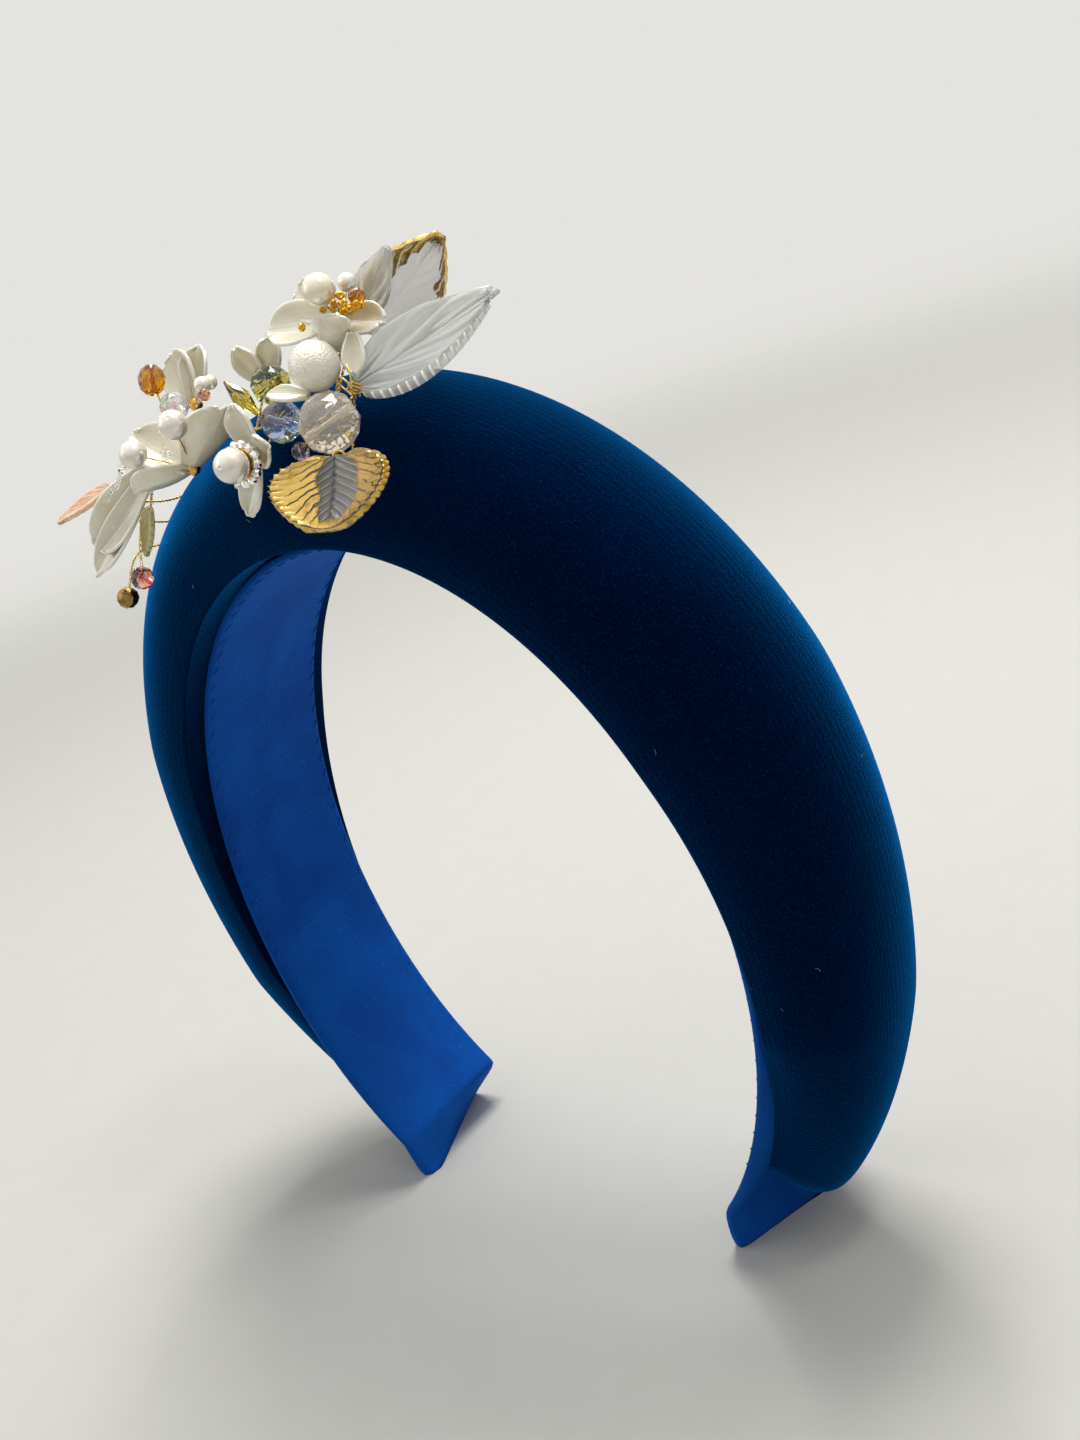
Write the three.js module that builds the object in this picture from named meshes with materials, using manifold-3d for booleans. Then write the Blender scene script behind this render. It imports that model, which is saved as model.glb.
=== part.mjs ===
// A padded velvet headband with a wired spray of flowers, leaves, pearls and crystals on its front.
// Millimetres, +Z up, the front faces -Y, +X is the wearer's left. The band stands on its two tips.
import * as THREE from 'three';
import { mergeVertices } from 'three/addons/utils/BufferGeometryUtils.js';
import Module from 'manifold-3d';

const wasm = await Module();
wasm.setup();

// Inner line of the band: an ellipse over the head, a longer one below the widest line
const arch = { halfWidth: 66, crownRise: 78.4, legDrop: 82.5, endAngle: 136 };

// Padded section from the crown (share 0) to the end of the velvet (share 1)
const padSections = [
  { share: 0, width: 43.6, height: 24.2 },
  { share: 0.45, width: 41, height: 22.1 },
  { share: 0.75, width: 33.4, height: 17.9 },
  { share: 1, width: 13, height: 12.3 },
];
const padRoundness = 2.7;
const padNose = 9;
const padSides = 24;
const padSteps = 42;

// Blue lining on the inner face, which runs past the velvet as a wide tip
const lining = { halfWidth: 16, thick: 2, tipThick: 4.2, pastVelvet: 7, cornerRun: 5, steps: 38 };

// Past the velvet the tip drops nearly straight, its back corner standing farther out than its front one
const tip = { out: 6, twist: 5.5, drop: 6, restCut: 1.5 };
const gap = 0.3;

// Gold wire, laid on the velvet from the crown toward the wearer's right
const wire = { radius: 0.4, stamen: 0.3, sides: 5 };
const vine = [
  { along: 14.5, turn: 125 },
  { along: 7, turn: 127 },
  { along: -3, turn: 128 },
  { along: -12, turn: 121 },
  { along: -21, turn: 102 },
  { along: -30, turn: 82 },
  { along: -35, turn: 76 },
  { along: -40, turn: 72 },
];

// Places are given on the band: along the crown line, ahead of the middle plane, and above the crown line
const leaves = [
  {
    name: 'gold_leaf_front', base: [19.7, 27.5, -3.8], tip: [23.2, 34.6, -13],
    face: [-0.05, 0.7, 0.6], width: 23.4, kind: 'broad',
  },
  {
    name: 'gold_leaf_back', base: [9, -1, 6.5], tip: [18, -5, 23.5],
    face: [0.6, 1, -0.2], width: 14, kind: 'keen',
  },
  {
    name: 'clear_leaf_small', base: [11.5, 5, 11.5], tip: [15, 2, 22.5],
    face: [0.2, 1, 0], width: 7, kind: 'slim',
  },
  {
    name: 'pearl_leaf_large', base: [16, 16, 3.6], tip: [28, 3, 19.5],
    face: [0.2, 0.9, 0.5], width: 10.5, kind: 'slim',
  },
  {
    name: 'oval_petal', base: [12, 21, 2.4], tip: [7.5, 24, 3.2],
    face: [0.2, 0.3, 1], width: 4.4, kind: 'petal',
  },
  {
    name: 'white_petal', base: [15.4, 14, 11.6], tip: [16.8, 17, 5.6],
    face: [0.5, 0.8, 0.3], width: 4, kind: 'petal',
  },
  {
    name: 'pink_leaf', base: [-32.5, 19, 7.6], tip: [-41, 25, 12.3],
    face: [0.4, 0.6, 0.7], width: 4.6, kind: 'slim',
  },
  {
    name: 'olive_leaf', base: [-22.4, 25.4, -5], tip: [-30.5, 25.2, -9.5],
    face: [0, 1, 0.3], width: 4.4, kind: 'slim',
  },
];

// Leaf and petal outlines: the part of a half wave each follows, how early it is widest and how full it is,
// its cup and thickness, the teeth on its rim, and how far its cross lines crowd toward the tip
const blades = {
  broad: {
    start: 0.04, span: 0.9, widest: 0.68, fullness: 0.62,
    cup: 0.1, thick: 1.6, teeth: 0.03, crowd: 1, long: 9, wide: 6,
  },
  keen: {
    start: 0.05, span: 0.94, widest: 0.85, fullness: 0.8,
    cup: 0.1, thick: 1.4, teeth: 0.03, crowd: 1.2, long: 8, wide: 4,
  },
  slim: {
    start: 0.04, span: 0.92, widest: 0.72, fullness: 0.9,
    cup: 0.12, thick: 1.1, teeth: 0, crowd: 1, long: 7, wide: 4,
  },
  petal: {
    start: 0.06, span: 0.925, widest: 1.5, fullness: 0.5,
    cup: 0.26, thick: 0.8, teeth: 0, crowd: 1.5, long: 4, wide: 4,
  },
};

// Flowers: petals on a small hub, with fine wires from the hub toward the beads it carries
const flowers = [
  {
    name: 'flower_upper', hub: [12, 11, 12.6], face: [-0.35, 0.7, 0.6],
    petals: [
      { tip: [4, 15, 11.6], width: 9 },
      { tip: [12.5, 18.5, 12], width: 10 },
      { tip: [17.5, 9.5, 12.6], width: 6 },
      { tip: [5.5, 8, 17], width: 8 },
    ],
    stamens: [
      { end: [11.6, 13.6, 18], clear: 2.8 },
      { end: [12.2, 8, 17.9], clear: 1.6 },
      { end: [15.2, 11.5, 16.7], clear: 1.5 },
      { end: [15.4, 14, 11.6], clear: 0.8 },
    ],
  },
  {
    name: 'flower_small', hub: [4, 25.5, -6.3], face: [0, 1, 0.1],
    petals: [
      { tip: [3.2, 26, 3], width: 6.5 },
      { tip: [8.6, 27.5, -4], width: 6 },
      { tip: [0.5, 27.6, -16], width: 5.5 },
      { tip: [-2, 25.5, -11.5], width: 5 },
    ],
    stamens: [{ end: [5.2, 32.8, -5.7], clear: 3 }],
  },
  {
    name: 'flower_large', hub: [-11.8, 23, -4.7], face: [0.66, 0.53, 0.36],
    petals: [
      { tip: [-0.6, 23.6, 2], width: 10, face: [-0.72, -0.33, 0.57] },
      { tip: [-20.8, 28, -2.4], width: 9, face: [0.3, -0.5, 0.8] },
      { tip: [-19.2, 23, 7], width: 9 },
    ],
    stamens: [
      { end: [-4.8, 30.3, 2.8], clear: 2.6 },
      { end: [-9.2, 23.3, 6], clear: 2.6 },
      { end: [-12, 21.6, 12.3], clear: 2.9 },
    ],
  },
  {
    name: 'flower_back', hub: [-11.5, 16, 5.5], face: [0.1, 0.9, 0.35],
    petals: [
      { tip: [-13, 13, 15.8], width: 9 },
      { tip: [-9, 12, 14.1], width: 8 },
    ],
    stamens: [{ end: [-3.4, 21, 7], clear: 1.3 }],
  },
  {
    name: 'flower_side', hub: [-20.7, 21.5, 0.6], face: [0.35, 0.9, 0.3],
    petals: [
      { tip: [-37, 26.5, 0], width: 10.5 },
      { tip: [-39.5, 28.3, -3.2], width: 7 },
      { tip: [-29.5, 16.5, 9.5], width: 7, face: [-0.2, 0.9, 0.45] },
    ],
    stamens: [],
  },
  {
    name: 'petal_pair', hub: [-3, 10, 3.4], face: [0.2, 1, 0],
    petals: [
      { tip: [-4, 12, 11], width: 5.5 },
      { tip: [0.5, 9, 10.4], width: 5.5 },
    ],
    stamens: [],
  },
];
const hubRadius = 1.3;

// Round beads and pearls
const beads = [
  { name: 'cotton_pearl', at: [13, 20, 7.4], radius: 4.25, colour: 0xf2ece0 },
  { name: 'upper_pearl', at: [11.6, 13.6, 18], radius: 2.8, colour: 0xf3e3cf },
  { name: 'upper_bead', at: [12.2, 8, 17.9], radius: 1.6, colour: 0xe8dccb },
  { name: 'upper_amber_bead', at: [15.2, 11.5, 16.7], radius: 1.5, colour: 0xb8892a },
  { name: 'small_flower_pearl', at: [5.2, 32.8, -5.7], radius: 3, colour: 0xf5f0e4 },
  { name: 'large_flower_pearl', at: [-4.8, 30.3, 2.8], radius: 2.6, colour: 0xf6f2ea },
  { name: 'large_flower_crystal', at: [-9.2, 23.3, 6], radius: 2.6, colour: 0xe6ecef },
  { name: 'side_flower_pearl', at: [-15, 29.6, 2.4], radius: 2.5, colour: 0xf4efe6 },
  { name: 'purple_bead', at: [10.8, 24, -6], radius: 1.6, colour: 0x9c8fa6 },
  { name: 'pink_bead', at: [-35.2, 25.2, -10.6], radius: 2.3, colour: 0xd9a08f },
  { name: 'bronze_bead', at: [-41.8, 25, -8.7], radius: 2.2, colour: 0x8c6d3c },
];
const beadSides = 12;
const smallBeadSides = 10;
const smallBead = 2.4;

// Faceted stones: a table, a crown, a girdle and a pavilion turned about the axis given
const stones = [
  {
    name: 'clear_crystal', at: [15.8, 23, -0.7], axis: [0.5, 0.6, 0.6],
    radius: 5.1, half: 4.7, colour: 0xe9e7e2,
  },
  {
    name: 'blue_crystal', at: [7.2, 22, -1.7], axis: [-0.3, 0.8, 0.5],
    radius: 3.7, half: 3.4, colour: 0xaebccb,
  },
  {
    name: 'olive_crystal', at: [2.5, 16, 3.4], axis: [0.8, 0.5, 0.2],
    radius: 3.6, half: 4, colour: 0x9c8f33,
  },
  {
    name: 'olive_drop', at: [0.9, 21.2, 2.9], axis: [0.53, -0.15, -0.83],
    radius: 1.7, half: 4, colour: 0xb2a233,
  },
  {
    name: 'amber_bead', at: [-12, 21.6, 12.3], axis: [0.2, -0.4, 0.9],
    radius: 2.5, half: 2.7, colour: 0xb06a12,
  },
];
const stoneFacets = 10;
const stoneProfile = [
  { reach: 0, rise: -1 },
  { reach: 0.45, rise: -1 },
  { reach: 0.86, rise: -0.55 },
  { reach: 1, rise: 0 },
  { reach: 0.86, rise: 0.55 },
  { reach: 0.45, rise: 1 },
  { reach: 0, rise: 1 },
];

// Ring of small stones behind the pearl of the small flower
const rondelle = { at: [4.5, 29.6, -6.4], axis: [0.16, 0.96, 0.2], inner: 1.6, outer: 4, thick: 1 };

// Three small beads on one wire beside the large flower
const sprig = [
  { at: [-3.4, 21, 7], radius: 1.3 },
  { at: [-2.4, 24, 7], radius: 1.5 },
  { at: [-0.8, 26.4, 5.4], radius: 1.1 },
];

// Stems from the vine: where each leaves it, an optional bend, and where it ends
const stems = [
  { along: 13.5, end: [15.8, 23, -0.7], clear: 5.3 },
  { along: 12.5, end: [13, 20, 7.4], clear: 4.25 },
  { along: 14.2, end: [16, 16, 3.6], clear: 0.9 },
  { along: 14.2, bend: [17.5, 21.5, -7.5], end: [19.7, 27.5, -3.8], clear: 1 },
  { along: 13, bend: [11, 8, 1.5], end: [9, -1, 6.5], clear: 0.9 },
  { along: 11, bend: [11.5, 12, 6], end: [12, 11, 12.6], clear: hubRadius },
  { along: 11, bend: [10.8, 9, 6], end: [11.5, 5, 11.5], clear: 0.5 },
  { along: 7, end: [7.2, 22, -1.7], clear: 3.7 },
  { along: 9.5, end: [10.8, 24, -6], clear: 1.6 },
  { along: 10.5, bend: [11, 18, -0.5], end: [12, 21, 2.4], clear: 0.5 },
  { along: 3, end: [4, 25.5, -6.3], clear: hubRadius },
  { along: 1.5, end: [2.5, 16, 3.4], clear: 3.6 },
  { along: 2.2, bend: [3.4, 19.6, -3], end: [2.8, 20.7, -0.2], clear: 0.6 },
  { along: -3, bend: [-3, 13, 0], end: [-3, 10, 3.4], clear: hubRadius },
  { along: -12, end: [-11.8, 23, -4.7], clear: 3 },
  { along: -12, end: [-11.5, 16, 5.5], clear: hubRadius },
  { along: -21, end: [-20.7, 21.5, 0.6], clear: 1.7 },
  { along: -21, bend: [-24.6, 18, 0], end: [-22.4, 25.4, -5], clear: 0.9 },
  { along: -30, bend: [-31.5, 17, 2.6], end: [-32.5, 19, 7.6], clear: 0.9 },
  { along: -35, bend: [-36, 14, 1.3], end: [-35.2, 25.2, -10.6], clear: 2.3 },
  { along: -40, bend: [-41.4, 14, 1.3], end: [-41.8, 25, -8.7], clear: 2.2 },
];

const colours = {
  velvet: 0x0a1836, lining: 0x0b4191, wire: 0xc9a44c, petal: 0xe9e6dc, clear: 0xdfe3e0, gold: 0xc99a3a,
  pink: 0xd8a987, olive: 0x8f8a3a, stone: 0xe3e3e0,
};

// Length along the inner line, tabulated once from the crown
const arcSteps = 900;
const arcReach = 165;
const arcTable = [0];
for (let i = 1; i <= arcSteps; i += 1) {
  const before = archPoint(((i - 1) / arcSteps) * arcReach);
  const after = archPoint((i / arcSteps) * arcReach);
  arcTable.push(arcTable[i - 1] + before.distanceTo(after));
}
const padLength = arcTable[Math.round((arch.endAngle / arcReach) * arcSteps)];

function archPoint(degrees) {
  const turn = THREE.MathUtils.degToRad(degrees);
  const rise = Math.abs(degrees) <= 90 ? arch.crownRise : arch.legDrop;
  return new THREE.Vector3(arch.halfWidth * Math.sin(turn), 0, rise * Math.cos(turn));
}

function angleAt(along) {
  const length = Math.abs(along);
  let i = 1;
  while (i < arcSteps && arcTable[i] < length) i += 1;
  const part = (length - arcTable[i - 1]) / (arcTable[i] - arcTable[i - 1]);
  return Math.sign(along) * ((i - 1 + part) / arcSteps) * arcReach;
}

// Point, direction and outward side of the inner line, with the padded section's size there
function station(along) {
  const angle = angleAt(along);
  const tangent = archPoint(angle + 0.05).sub(archPoint(angle - 0.05)).normalize();
  const outward = new THREE.Vector3(-tangent.z, 0, tangent.x);
  const share = Math.min(Math.abs(along) / padLength, 1);
  const i = Math.max(1, padSections.findIndex((row) => row.share >= share));
  const [low, high] = [padSections[i - 1], padSections[i]];
  const part = (share - low.share) / (high.share - low.share);
  const noseShare = Math.max(0, Math.abs(along) - padLength + padNose) / padNose;
  const closing = Math.min(noseShare, 1);
  const width = THREE.MathUtils.lerp(low.width, high.width, part) * Math.sqrt(1.03 - closing ** 2.5);
  const height = THREE.MathUtils.lerp(low.height, high.height, part) * Math.sqrt(1.05 - closing ** 2);
  return { point: archPoint(angle), tangent, outward, width, height };
}

function place([along, ahead, lift]) {
  const { point, outward, height } = station(along);
  return point.clone().addScaledVector(outward, height + lift).setY(-ahead);
}

function direction(along, [side, ahead, lift]) {
  const { tangent, outward } = station(along);
  const sum = tangent.clone().multiplyScalar(side).addScaledVector(outward, lift);
  return sum.setY(-ahead).normalize();
}

function power(value, exponent) {
  return Math.sign(value) * Math.abs(value) ** exponent;
}

// Point of the padded section: a turn of 0 is its back edge, 180 its front edge, and below them is flat
function padPoint(along, turn, radius = 1, clear = 0) {
  const { point, outward, width, height } = station(along);
  const angle = THREE.MathUtils.degToRad(turn);
  const exponent = 2 / padRoundness;
  const across = Math.sin(angle) >= 0 ? power(Math.cos(angle), exponent) : Math.cos(angle);
  const up = Math.sin(angle) >= 0 ? power(Math.sin(angle), exponent) : 0;
  const lift = radius > 0 ? up * (height + clear) : height / 2;
  return point.clone().addScaledVector(outward, lift).setY(across * radius * (width / 2 + clear));
}

function reshape(geometry, map) {
  const position = geometry.getAttribute('position');
  const vertex = new THREE.Vector3();
  for (let i = 0; i < position.count; i += 1) {
    const moved = map(vertex.fromBufferAttribute(position, i));
    position.setXYZ(i, moved.x, moved.y, moved.z);
  }
  return geometry;
}

// A closed solid with shared corners, turned so that its faces look out
function toSolid(geometry) {
  geometry.deleteAttribute('normal');
  geometry.deleteAttribute('uv');
  const merged = mergeVertices(geometry, 1e-3);
  const vertProperties = new Float32Array(merged.getAttribute('position').array);
  const triVerts = new Uint32Array(merged.getIndex().array);
  const signed = signedVolume(vertProperties, triVerts);
  if (signed < 0) {
    for (let i = 0; i < triVerts.length; i += 3) {
      [triVerts[i + 1], triVerts[i + 2]] = [triVerts[i + 2], triVerts[i + 1]];
    }
  }
  return new wasm.Manifold(new wasm.Mesh({ numProp: 3, vertProperties, triVerts }));
}

function signedVolume(points, triangles) {
  const corners = [new THREE.Vector3(), new THREE.Vector3(), new THREE.Vector3()];
  let sum = 0;
  for (let i = 0; i < triangles.length; i += 3) {
    corners.forEach((corner, k) => corner.fromArray(points, triangles[i + k] * 3));
    sum += corners[0].dot(corners[1].cross(corners[2]));
  }
  return sum;
}

function fromSolid(solid) {
  const { vertProperties, triVerts } = solid.getMesh();
  const geometry = new THREE.BufferGeometry();
  geometry.setAttribute('position', new THREE.BufferAttribute(new Float32Array(vertProperties), 3));
  geometry.setIndex(Array.from(triVerts));
  geometry.computeVertexNormals();
  return geometry;
}

function velvetPad() {
  const blank = new THREE.CylinderGeometry(1, 1, 2, padSides, padSteps);
  return toSolid(reshape(blank, (v) => {
    const along = padLength * (0.45 * v.y + 0.55 * Math.sin((v.y * Math.PI) / 2));
    const turn = THREE.MathUtils.radToDeg(Math.atan2(v.z, v.x));
    return padPoint(along, turn, Math.hypot(v.x, v.z) > 0.5 ? 1 : 0);
  }));
}

// The lining's outer side lies under the velvet and swells past its end
function liningStrip() {
  const reach = padLength + lining.pastVelvet;
  const blank = new THREE.BoxGeometry(2, 2, 1, lining.steps, 4, 1);
  const strip = toSolid(reshape(blank, (v) => {
    const along = reach * (0.25 * v.x + 0.75 * Math.sin((v.x * Math.PI) / 2));
    const { point, outward } = station(along);
    const endShare = Math.max(0, Math.abs(along) - reach + lining.cornerRun) / lining.cornerRun;
    const halfWidth = lining.halfWidth * (0.75 + 0.25 * Math.sqrt(1 - Math.min(endShare, 1) ** 2));
    const swell = THREE.MathUtils.smoothstep(Math.abs(along), padLength + 1.5, reach);
    const thick = lining.thick + swell * (lining.tipThick - lining.thick);
    const lift = v.z > 0 ? thick - lining.thick - gap : -lining.thick - gap;
    const corner = point.clone().addScaledVector(outward, lift);
    corner.x += Math.sign(along) * swell * (tip.out + tip.twist * v.y);
    corner.z -= swell * tip.drop;
    return corner.setY(v.y * halfWidth);
  }));
  const floor = new THREE.BoxGeometry(400, 200, 100).translate(0, 0, restHeight() - 50);
  return strip.subtract(toSolid(floor));
}

function restHeight() {
  return station(padLength + lining.pastVelvet).point.z - tip.drop + tip.restCut;
}

// A leaf or petal along +X with its face toward +Z
function bladeSolid(kind, length, width) {
  const blade = blades[kind];
  const blank = new THREE.BoxGeometry(1, 2, 1, blade.long, blade.wide, 1);
  return reshape(blank, (v) => {
    const share = 1 - (0.5 - v.x) ** blade.crowd;
    const outline = Math.sin(Math.PI * (blade.start + blade.span * share ** blade.widest)) ** blade.fullness;
    const tooth = 1 + blade.teeth * (Math.round((v.x + 0.5) * blade.long) % 2 ? 1 : -1);
    const across = v.y * (width / 2) * outline * tooth;
    const cup = blade.cup * width * (v.y ** 2 * outline + (share - 0.4) ** 2 - 0.16);
    return new THREE.Vector3(share * length, across, cup + v.z * blade.thick * (0.6 + 0.4 * outline));
  });
}

function placedBlade(kind, base, tip, face, width) {
  const axis = tip.clone().sub(base);
  const length = axis.length();
  axis.normalize();
  const across = face.clone().cross(axis).normalize();
  const normal = axis.clone().cross(across);
  const turn = new THREE.Matrix4().makeBasis(axis, across, normal).setPosition(base);
  return toSolid(bladeSolid(kind, length, width).applyMatrix4(turn));
}

function leafSolid({ base, tip, face, width, kind }) {
  return placedBlade(kind, place(base), place(tip), direction(base[0], face), width);
}

function flowerSolid({ hub, face, petals, stamens }) {
  const centre = place(hub);
  const core = toSolid(new THREE.SphereGeometry(hubRadius, 6, 4).translate(...centre));
  const parts = petals.map((petal) => {
    const toward = direction(hub[0], petal.face ?? face);
    return placedBlade('petal', centre, place(petal.tip), toward, petal.width);
  });
  const wires = stamens.map(({ end, clear }) => {
    return tube([centre, shortOf(centre, place(end), clear)], wire.stamen);
  });
  return wasm.Manifold.union([core, ...parts, ...wires]);
}

// The point of a straight run that ends a gap short of a piece
function shortOf(from, target, clear) {
  return target.clone().sub(from).setLength(from.distanceTo(target) - clear - gap).add(from);
}

function beadSolid({ at, radius }) {
  const sides = radius < smallBead ? smallBeadSides : beadSides;
  return toSolid(new THREE.SphereGeometry(radius, sides, Math.round(sides * 0.6)).translate(...place(at)));
}

function aimed(geometry, at, axis) {
  const turn = new THREE.Quaternion().setFromUnitVectors(new THREE.Vector3(0, 1, 0), direction(at[0], axis));
  return geometry.applyQuaternion(turn).translate(...place(at));
}

function stoneSolid({ at, axis, radius, half }) {
  const profile = stoneProfile.map(({ reach, rise }) => new THREE.Vector2(reach * radius, rise * half));
  return toSolid(aimed(new THREE.LatheGeometry(profile, stoneFacets), at, axis));
}

function rondelleSolid() {
  const { at, axis, inner, outer, thick } = rondelle;
  const middle = (inner + outer) / 2;
  const profile = [[inner, 0], [middle, -thick], [outer, 0], [middle, thick], [inner, 0]];
  const points = profile.map(([reach, rise]) => new THREE.Vector2(reach, rise));
  return toSolid(aimed(new THREE.LatheGeometry(points, 14), at, axis));
}

function tube(points, radius = wire.radius) {
  const section = new THREE.Shape();
  for (let i = 0; i < wire.sides; i += 1) {
    const angle = (i / wire.sides) * 2 * Math.PI;
    const corner = [radius * Math.cos(angle), radius * Math.sin(angle)];
    if (i === 0) section.moveTo(...corner);
    else section.lineTo(...corner);
  }
  const path = points.length === 2 ? new THREE.LineCurve3(...points) : new THREE.CatmullRomCurve3(points);
  const steps = points.length === 2 ? 1 : (points.length - 1) * 2;
  return toSolid(new THREE.ExtrudeGeometry(section, { steps, extrudePath: path, bevelEnabled: false }));
}

function vinePoint(along) {
  const i = Math.max(1, vine.findIndex((row) => row.along <= along));
  const part = (along - vine[i - 1].along) / (vine[i].along - vine[i - 1].along);
  const turn = THREE.MathUtils.lerp(vine[i - 1].turn, vine[i].turn, part);
  return padPoint(along, turn, 1, wire.radius + 2 * gap);
}

function wireVine() {
  const main = tube(vine.map((row) => vinePoint(row.along)));
  const branches = stems.map(({ along, bend, end, clear }) => {
    const start = vinePoint(along);
    const before = bend ? place(bend) : start;
    const stop = shortOf(before, place(end), clear);
    return tube(bend ? [start, before, stop] : [start, stop]);
  });
  return wasm.Manifold.union([main, ...branches]);
}

function sprigSolid() {
  const points = sprig.map(({ at }) => place(at));
  const balls = sprig.map(beadSolid);
  return wasm.Manifold.union([tube(points), ...balls]);
}

const looks = {
  broad: { color: colours.gold, roughness: 0.3, metalness: 0.6 },
  keen: { color: colours.gold, roughness: 0.3, metalness: 0.6 },
  slim: { color: colours.clear, roughness: 0.2, metalness: 0 },
  petal: { color: colours.petal, roughness: 0.3, metalness: 0 },
  bead: { roughness: 0.25, metalness: 0 },
  stone: { roughness: 0.05, metalness: 0 },
};

const assembly = new THREE.Group();

function add(name, solid, look) {
  const mesh = new THREE.Mesh(fromSolid(solid), new THREE.MeshStandardMaterial(look));
  mesh.name = name;
  assembly.add(mesh);
}

add('velvet_pad', velvetPad(), { color: colours.velvet, roughness: 0.95, metalness: 0 });
add('lining', liningStrip(), { color: colours.lining, roughness: 0.8, metalness: 0 });
add('wire_vine', wireVine(), { color: colours.wire, roughness: 0.3, metalness: 1 });
leaves.forEach((leaf) => add(leaf.name, leafSolid(leaf), looks[leaf.kind]));
flowers.forEach((flower) => add(flower.name, flowerSolid(flower), looks.petal));
beads.forEach((bead) => add(bead.name, beadSolid(bead), { ...looks.bead, color: bead.colour }));
stones.forEach((stone) => add(stone.name, stoneSolid(stone), { ...looks.stone, color: stone.colour }));
add('rondelle', rondelleSolid(), { color: colours.stone, roughness: 0.15, metalness: 0.7 });
add('bead_sprig', sprigSolid(), { color: colours.petal, roughness: 0.25, metalness: 0 });

// Stand the band on the floor, with the origin under the middle of its box
const box = new THREE.Box3().setFromObject(assembly);
const middle = box.getCenter(new THREE.Vector3());
assembly.children.forEach((mesh) => mesh.position.set(-middle.x, -middle.y, -box.min.z));

export default assembly;
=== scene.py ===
import math
import bmesh
import bpy
import numpy as np
from mathutils import Matrix, Vector


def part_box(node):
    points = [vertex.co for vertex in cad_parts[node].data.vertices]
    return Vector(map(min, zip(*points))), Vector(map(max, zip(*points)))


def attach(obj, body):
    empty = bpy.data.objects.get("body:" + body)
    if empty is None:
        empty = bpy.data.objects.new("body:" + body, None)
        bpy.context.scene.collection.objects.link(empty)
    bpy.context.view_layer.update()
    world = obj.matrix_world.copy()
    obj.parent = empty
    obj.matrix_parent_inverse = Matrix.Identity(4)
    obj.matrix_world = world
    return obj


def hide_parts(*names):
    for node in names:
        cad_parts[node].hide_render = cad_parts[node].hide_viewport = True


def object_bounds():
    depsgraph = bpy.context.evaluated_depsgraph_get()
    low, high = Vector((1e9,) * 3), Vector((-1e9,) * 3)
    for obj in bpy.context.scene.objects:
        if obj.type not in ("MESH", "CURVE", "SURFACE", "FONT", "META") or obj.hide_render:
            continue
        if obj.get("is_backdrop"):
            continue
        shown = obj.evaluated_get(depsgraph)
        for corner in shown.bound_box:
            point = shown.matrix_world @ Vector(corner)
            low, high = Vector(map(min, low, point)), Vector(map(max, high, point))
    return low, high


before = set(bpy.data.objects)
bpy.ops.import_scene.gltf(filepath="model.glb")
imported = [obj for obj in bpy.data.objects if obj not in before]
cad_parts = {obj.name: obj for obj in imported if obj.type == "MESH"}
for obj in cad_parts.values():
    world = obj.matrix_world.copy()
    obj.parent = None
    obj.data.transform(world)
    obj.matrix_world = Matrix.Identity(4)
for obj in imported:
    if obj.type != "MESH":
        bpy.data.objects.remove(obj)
cadLow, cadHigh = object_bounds()
scene = bpy.context.scene
mm = 0.001
print("frame loaded,", len(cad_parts), "solids")

# inner line of the band and its padded section in mm, the same sizes as the solids
band = {
    "halfWidth": 66, "crownRise": 78.4, "legDrop": 82.5, "endAngle": 136,
    "shares": [0, 0.45, 0.75, 1], "widths": [43.6, 41, 33.4, 13], "heights": [24.2, 22.1, 17.9, 12.3],
    "roundness": 2.7, "nose": 9, "noseWide": 1.03, "noseHigh": 1.05,
    "measuredTo": 165, "measuredSteps": 901, "tangentStep": 0.05,
}


def archPoint(degrees):
    turn = math.radians(degrees)
    rise = band["crownRise"] if abs(degrees) <= 90 else band["legDrop"]
    return Vector((band["halfWidth"] * math.sin(turn), 0, rise * math.cos(turn)))


arcAngles = np.linspace(0, band["measuredTo"], band["measuredSteps"])
arcPoints = [archPoint(angle) for angle in arcAngles]
arcRuns = [(b - a).length for a, b in zip(arcPoints, arcPoints[1:])]
arcLengths = np.concatenate([[0], np.cumsum(arcRuns)])
padLength = float(np.interp(band["endAngle"], arcAngles, arcLengths))

padLow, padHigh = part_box("velvet_pad")
crownTop = band["crownRise"] + band["heights"][0] * math.sqrt(band["noseHigh"])
bandOrigin = Vector((0, (padLow.y + padHigh.y) / 2, padHigh.z - crownTop * mm))


def station(along):  # point on the inner line, its two directions, and the width and height of the pad there
    angle = math.copysign(np.interp(abs(along), arcLengths, arcAngles), along)
    tangent = (archPoint(angle + band["tangentStep"]) - archPoint(angle - band["tangentStep"])).normalized()
    outward = Vector((-tangent.z, 0, tangent.x))
    share = min(abs(along) / padLength, 1)
    nose = min(max(0, abs(along) - padLength + band["nose"]) / band["nose"], 1)
    width = np.interp(share, band["shares"], band["widths"]) * math.sqrt(band["noseWide"] - nose ** 2.5)
    height = np.interp(share, band["shares"], band["heights"]) * math.sqrt(band["noseHigh"] - nose ** 2)
    return archPoint(angle), tangent, outward, float(width), float(height)


def inFrame(point):
    return bandOrigin + point * mm


def place(spot):  # along the crown line, ahead of the middle plane, above the crown line
    along, ahead, lift = spot
    point, _, outward, _, height = station(along)
    return inFrame(point + outward * (height + lift) + Vector((0, -ahead, 0)))


def direction(along, way):
    _, tangent, outward, _, _ = station(along)
    return (tangent * way[0] + outward * way[2] + Vector((0, -way[1], 0))).normalized()


def power(value, exponent):
    return math.copysign(abs(value) ** exponent, value)


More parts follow.
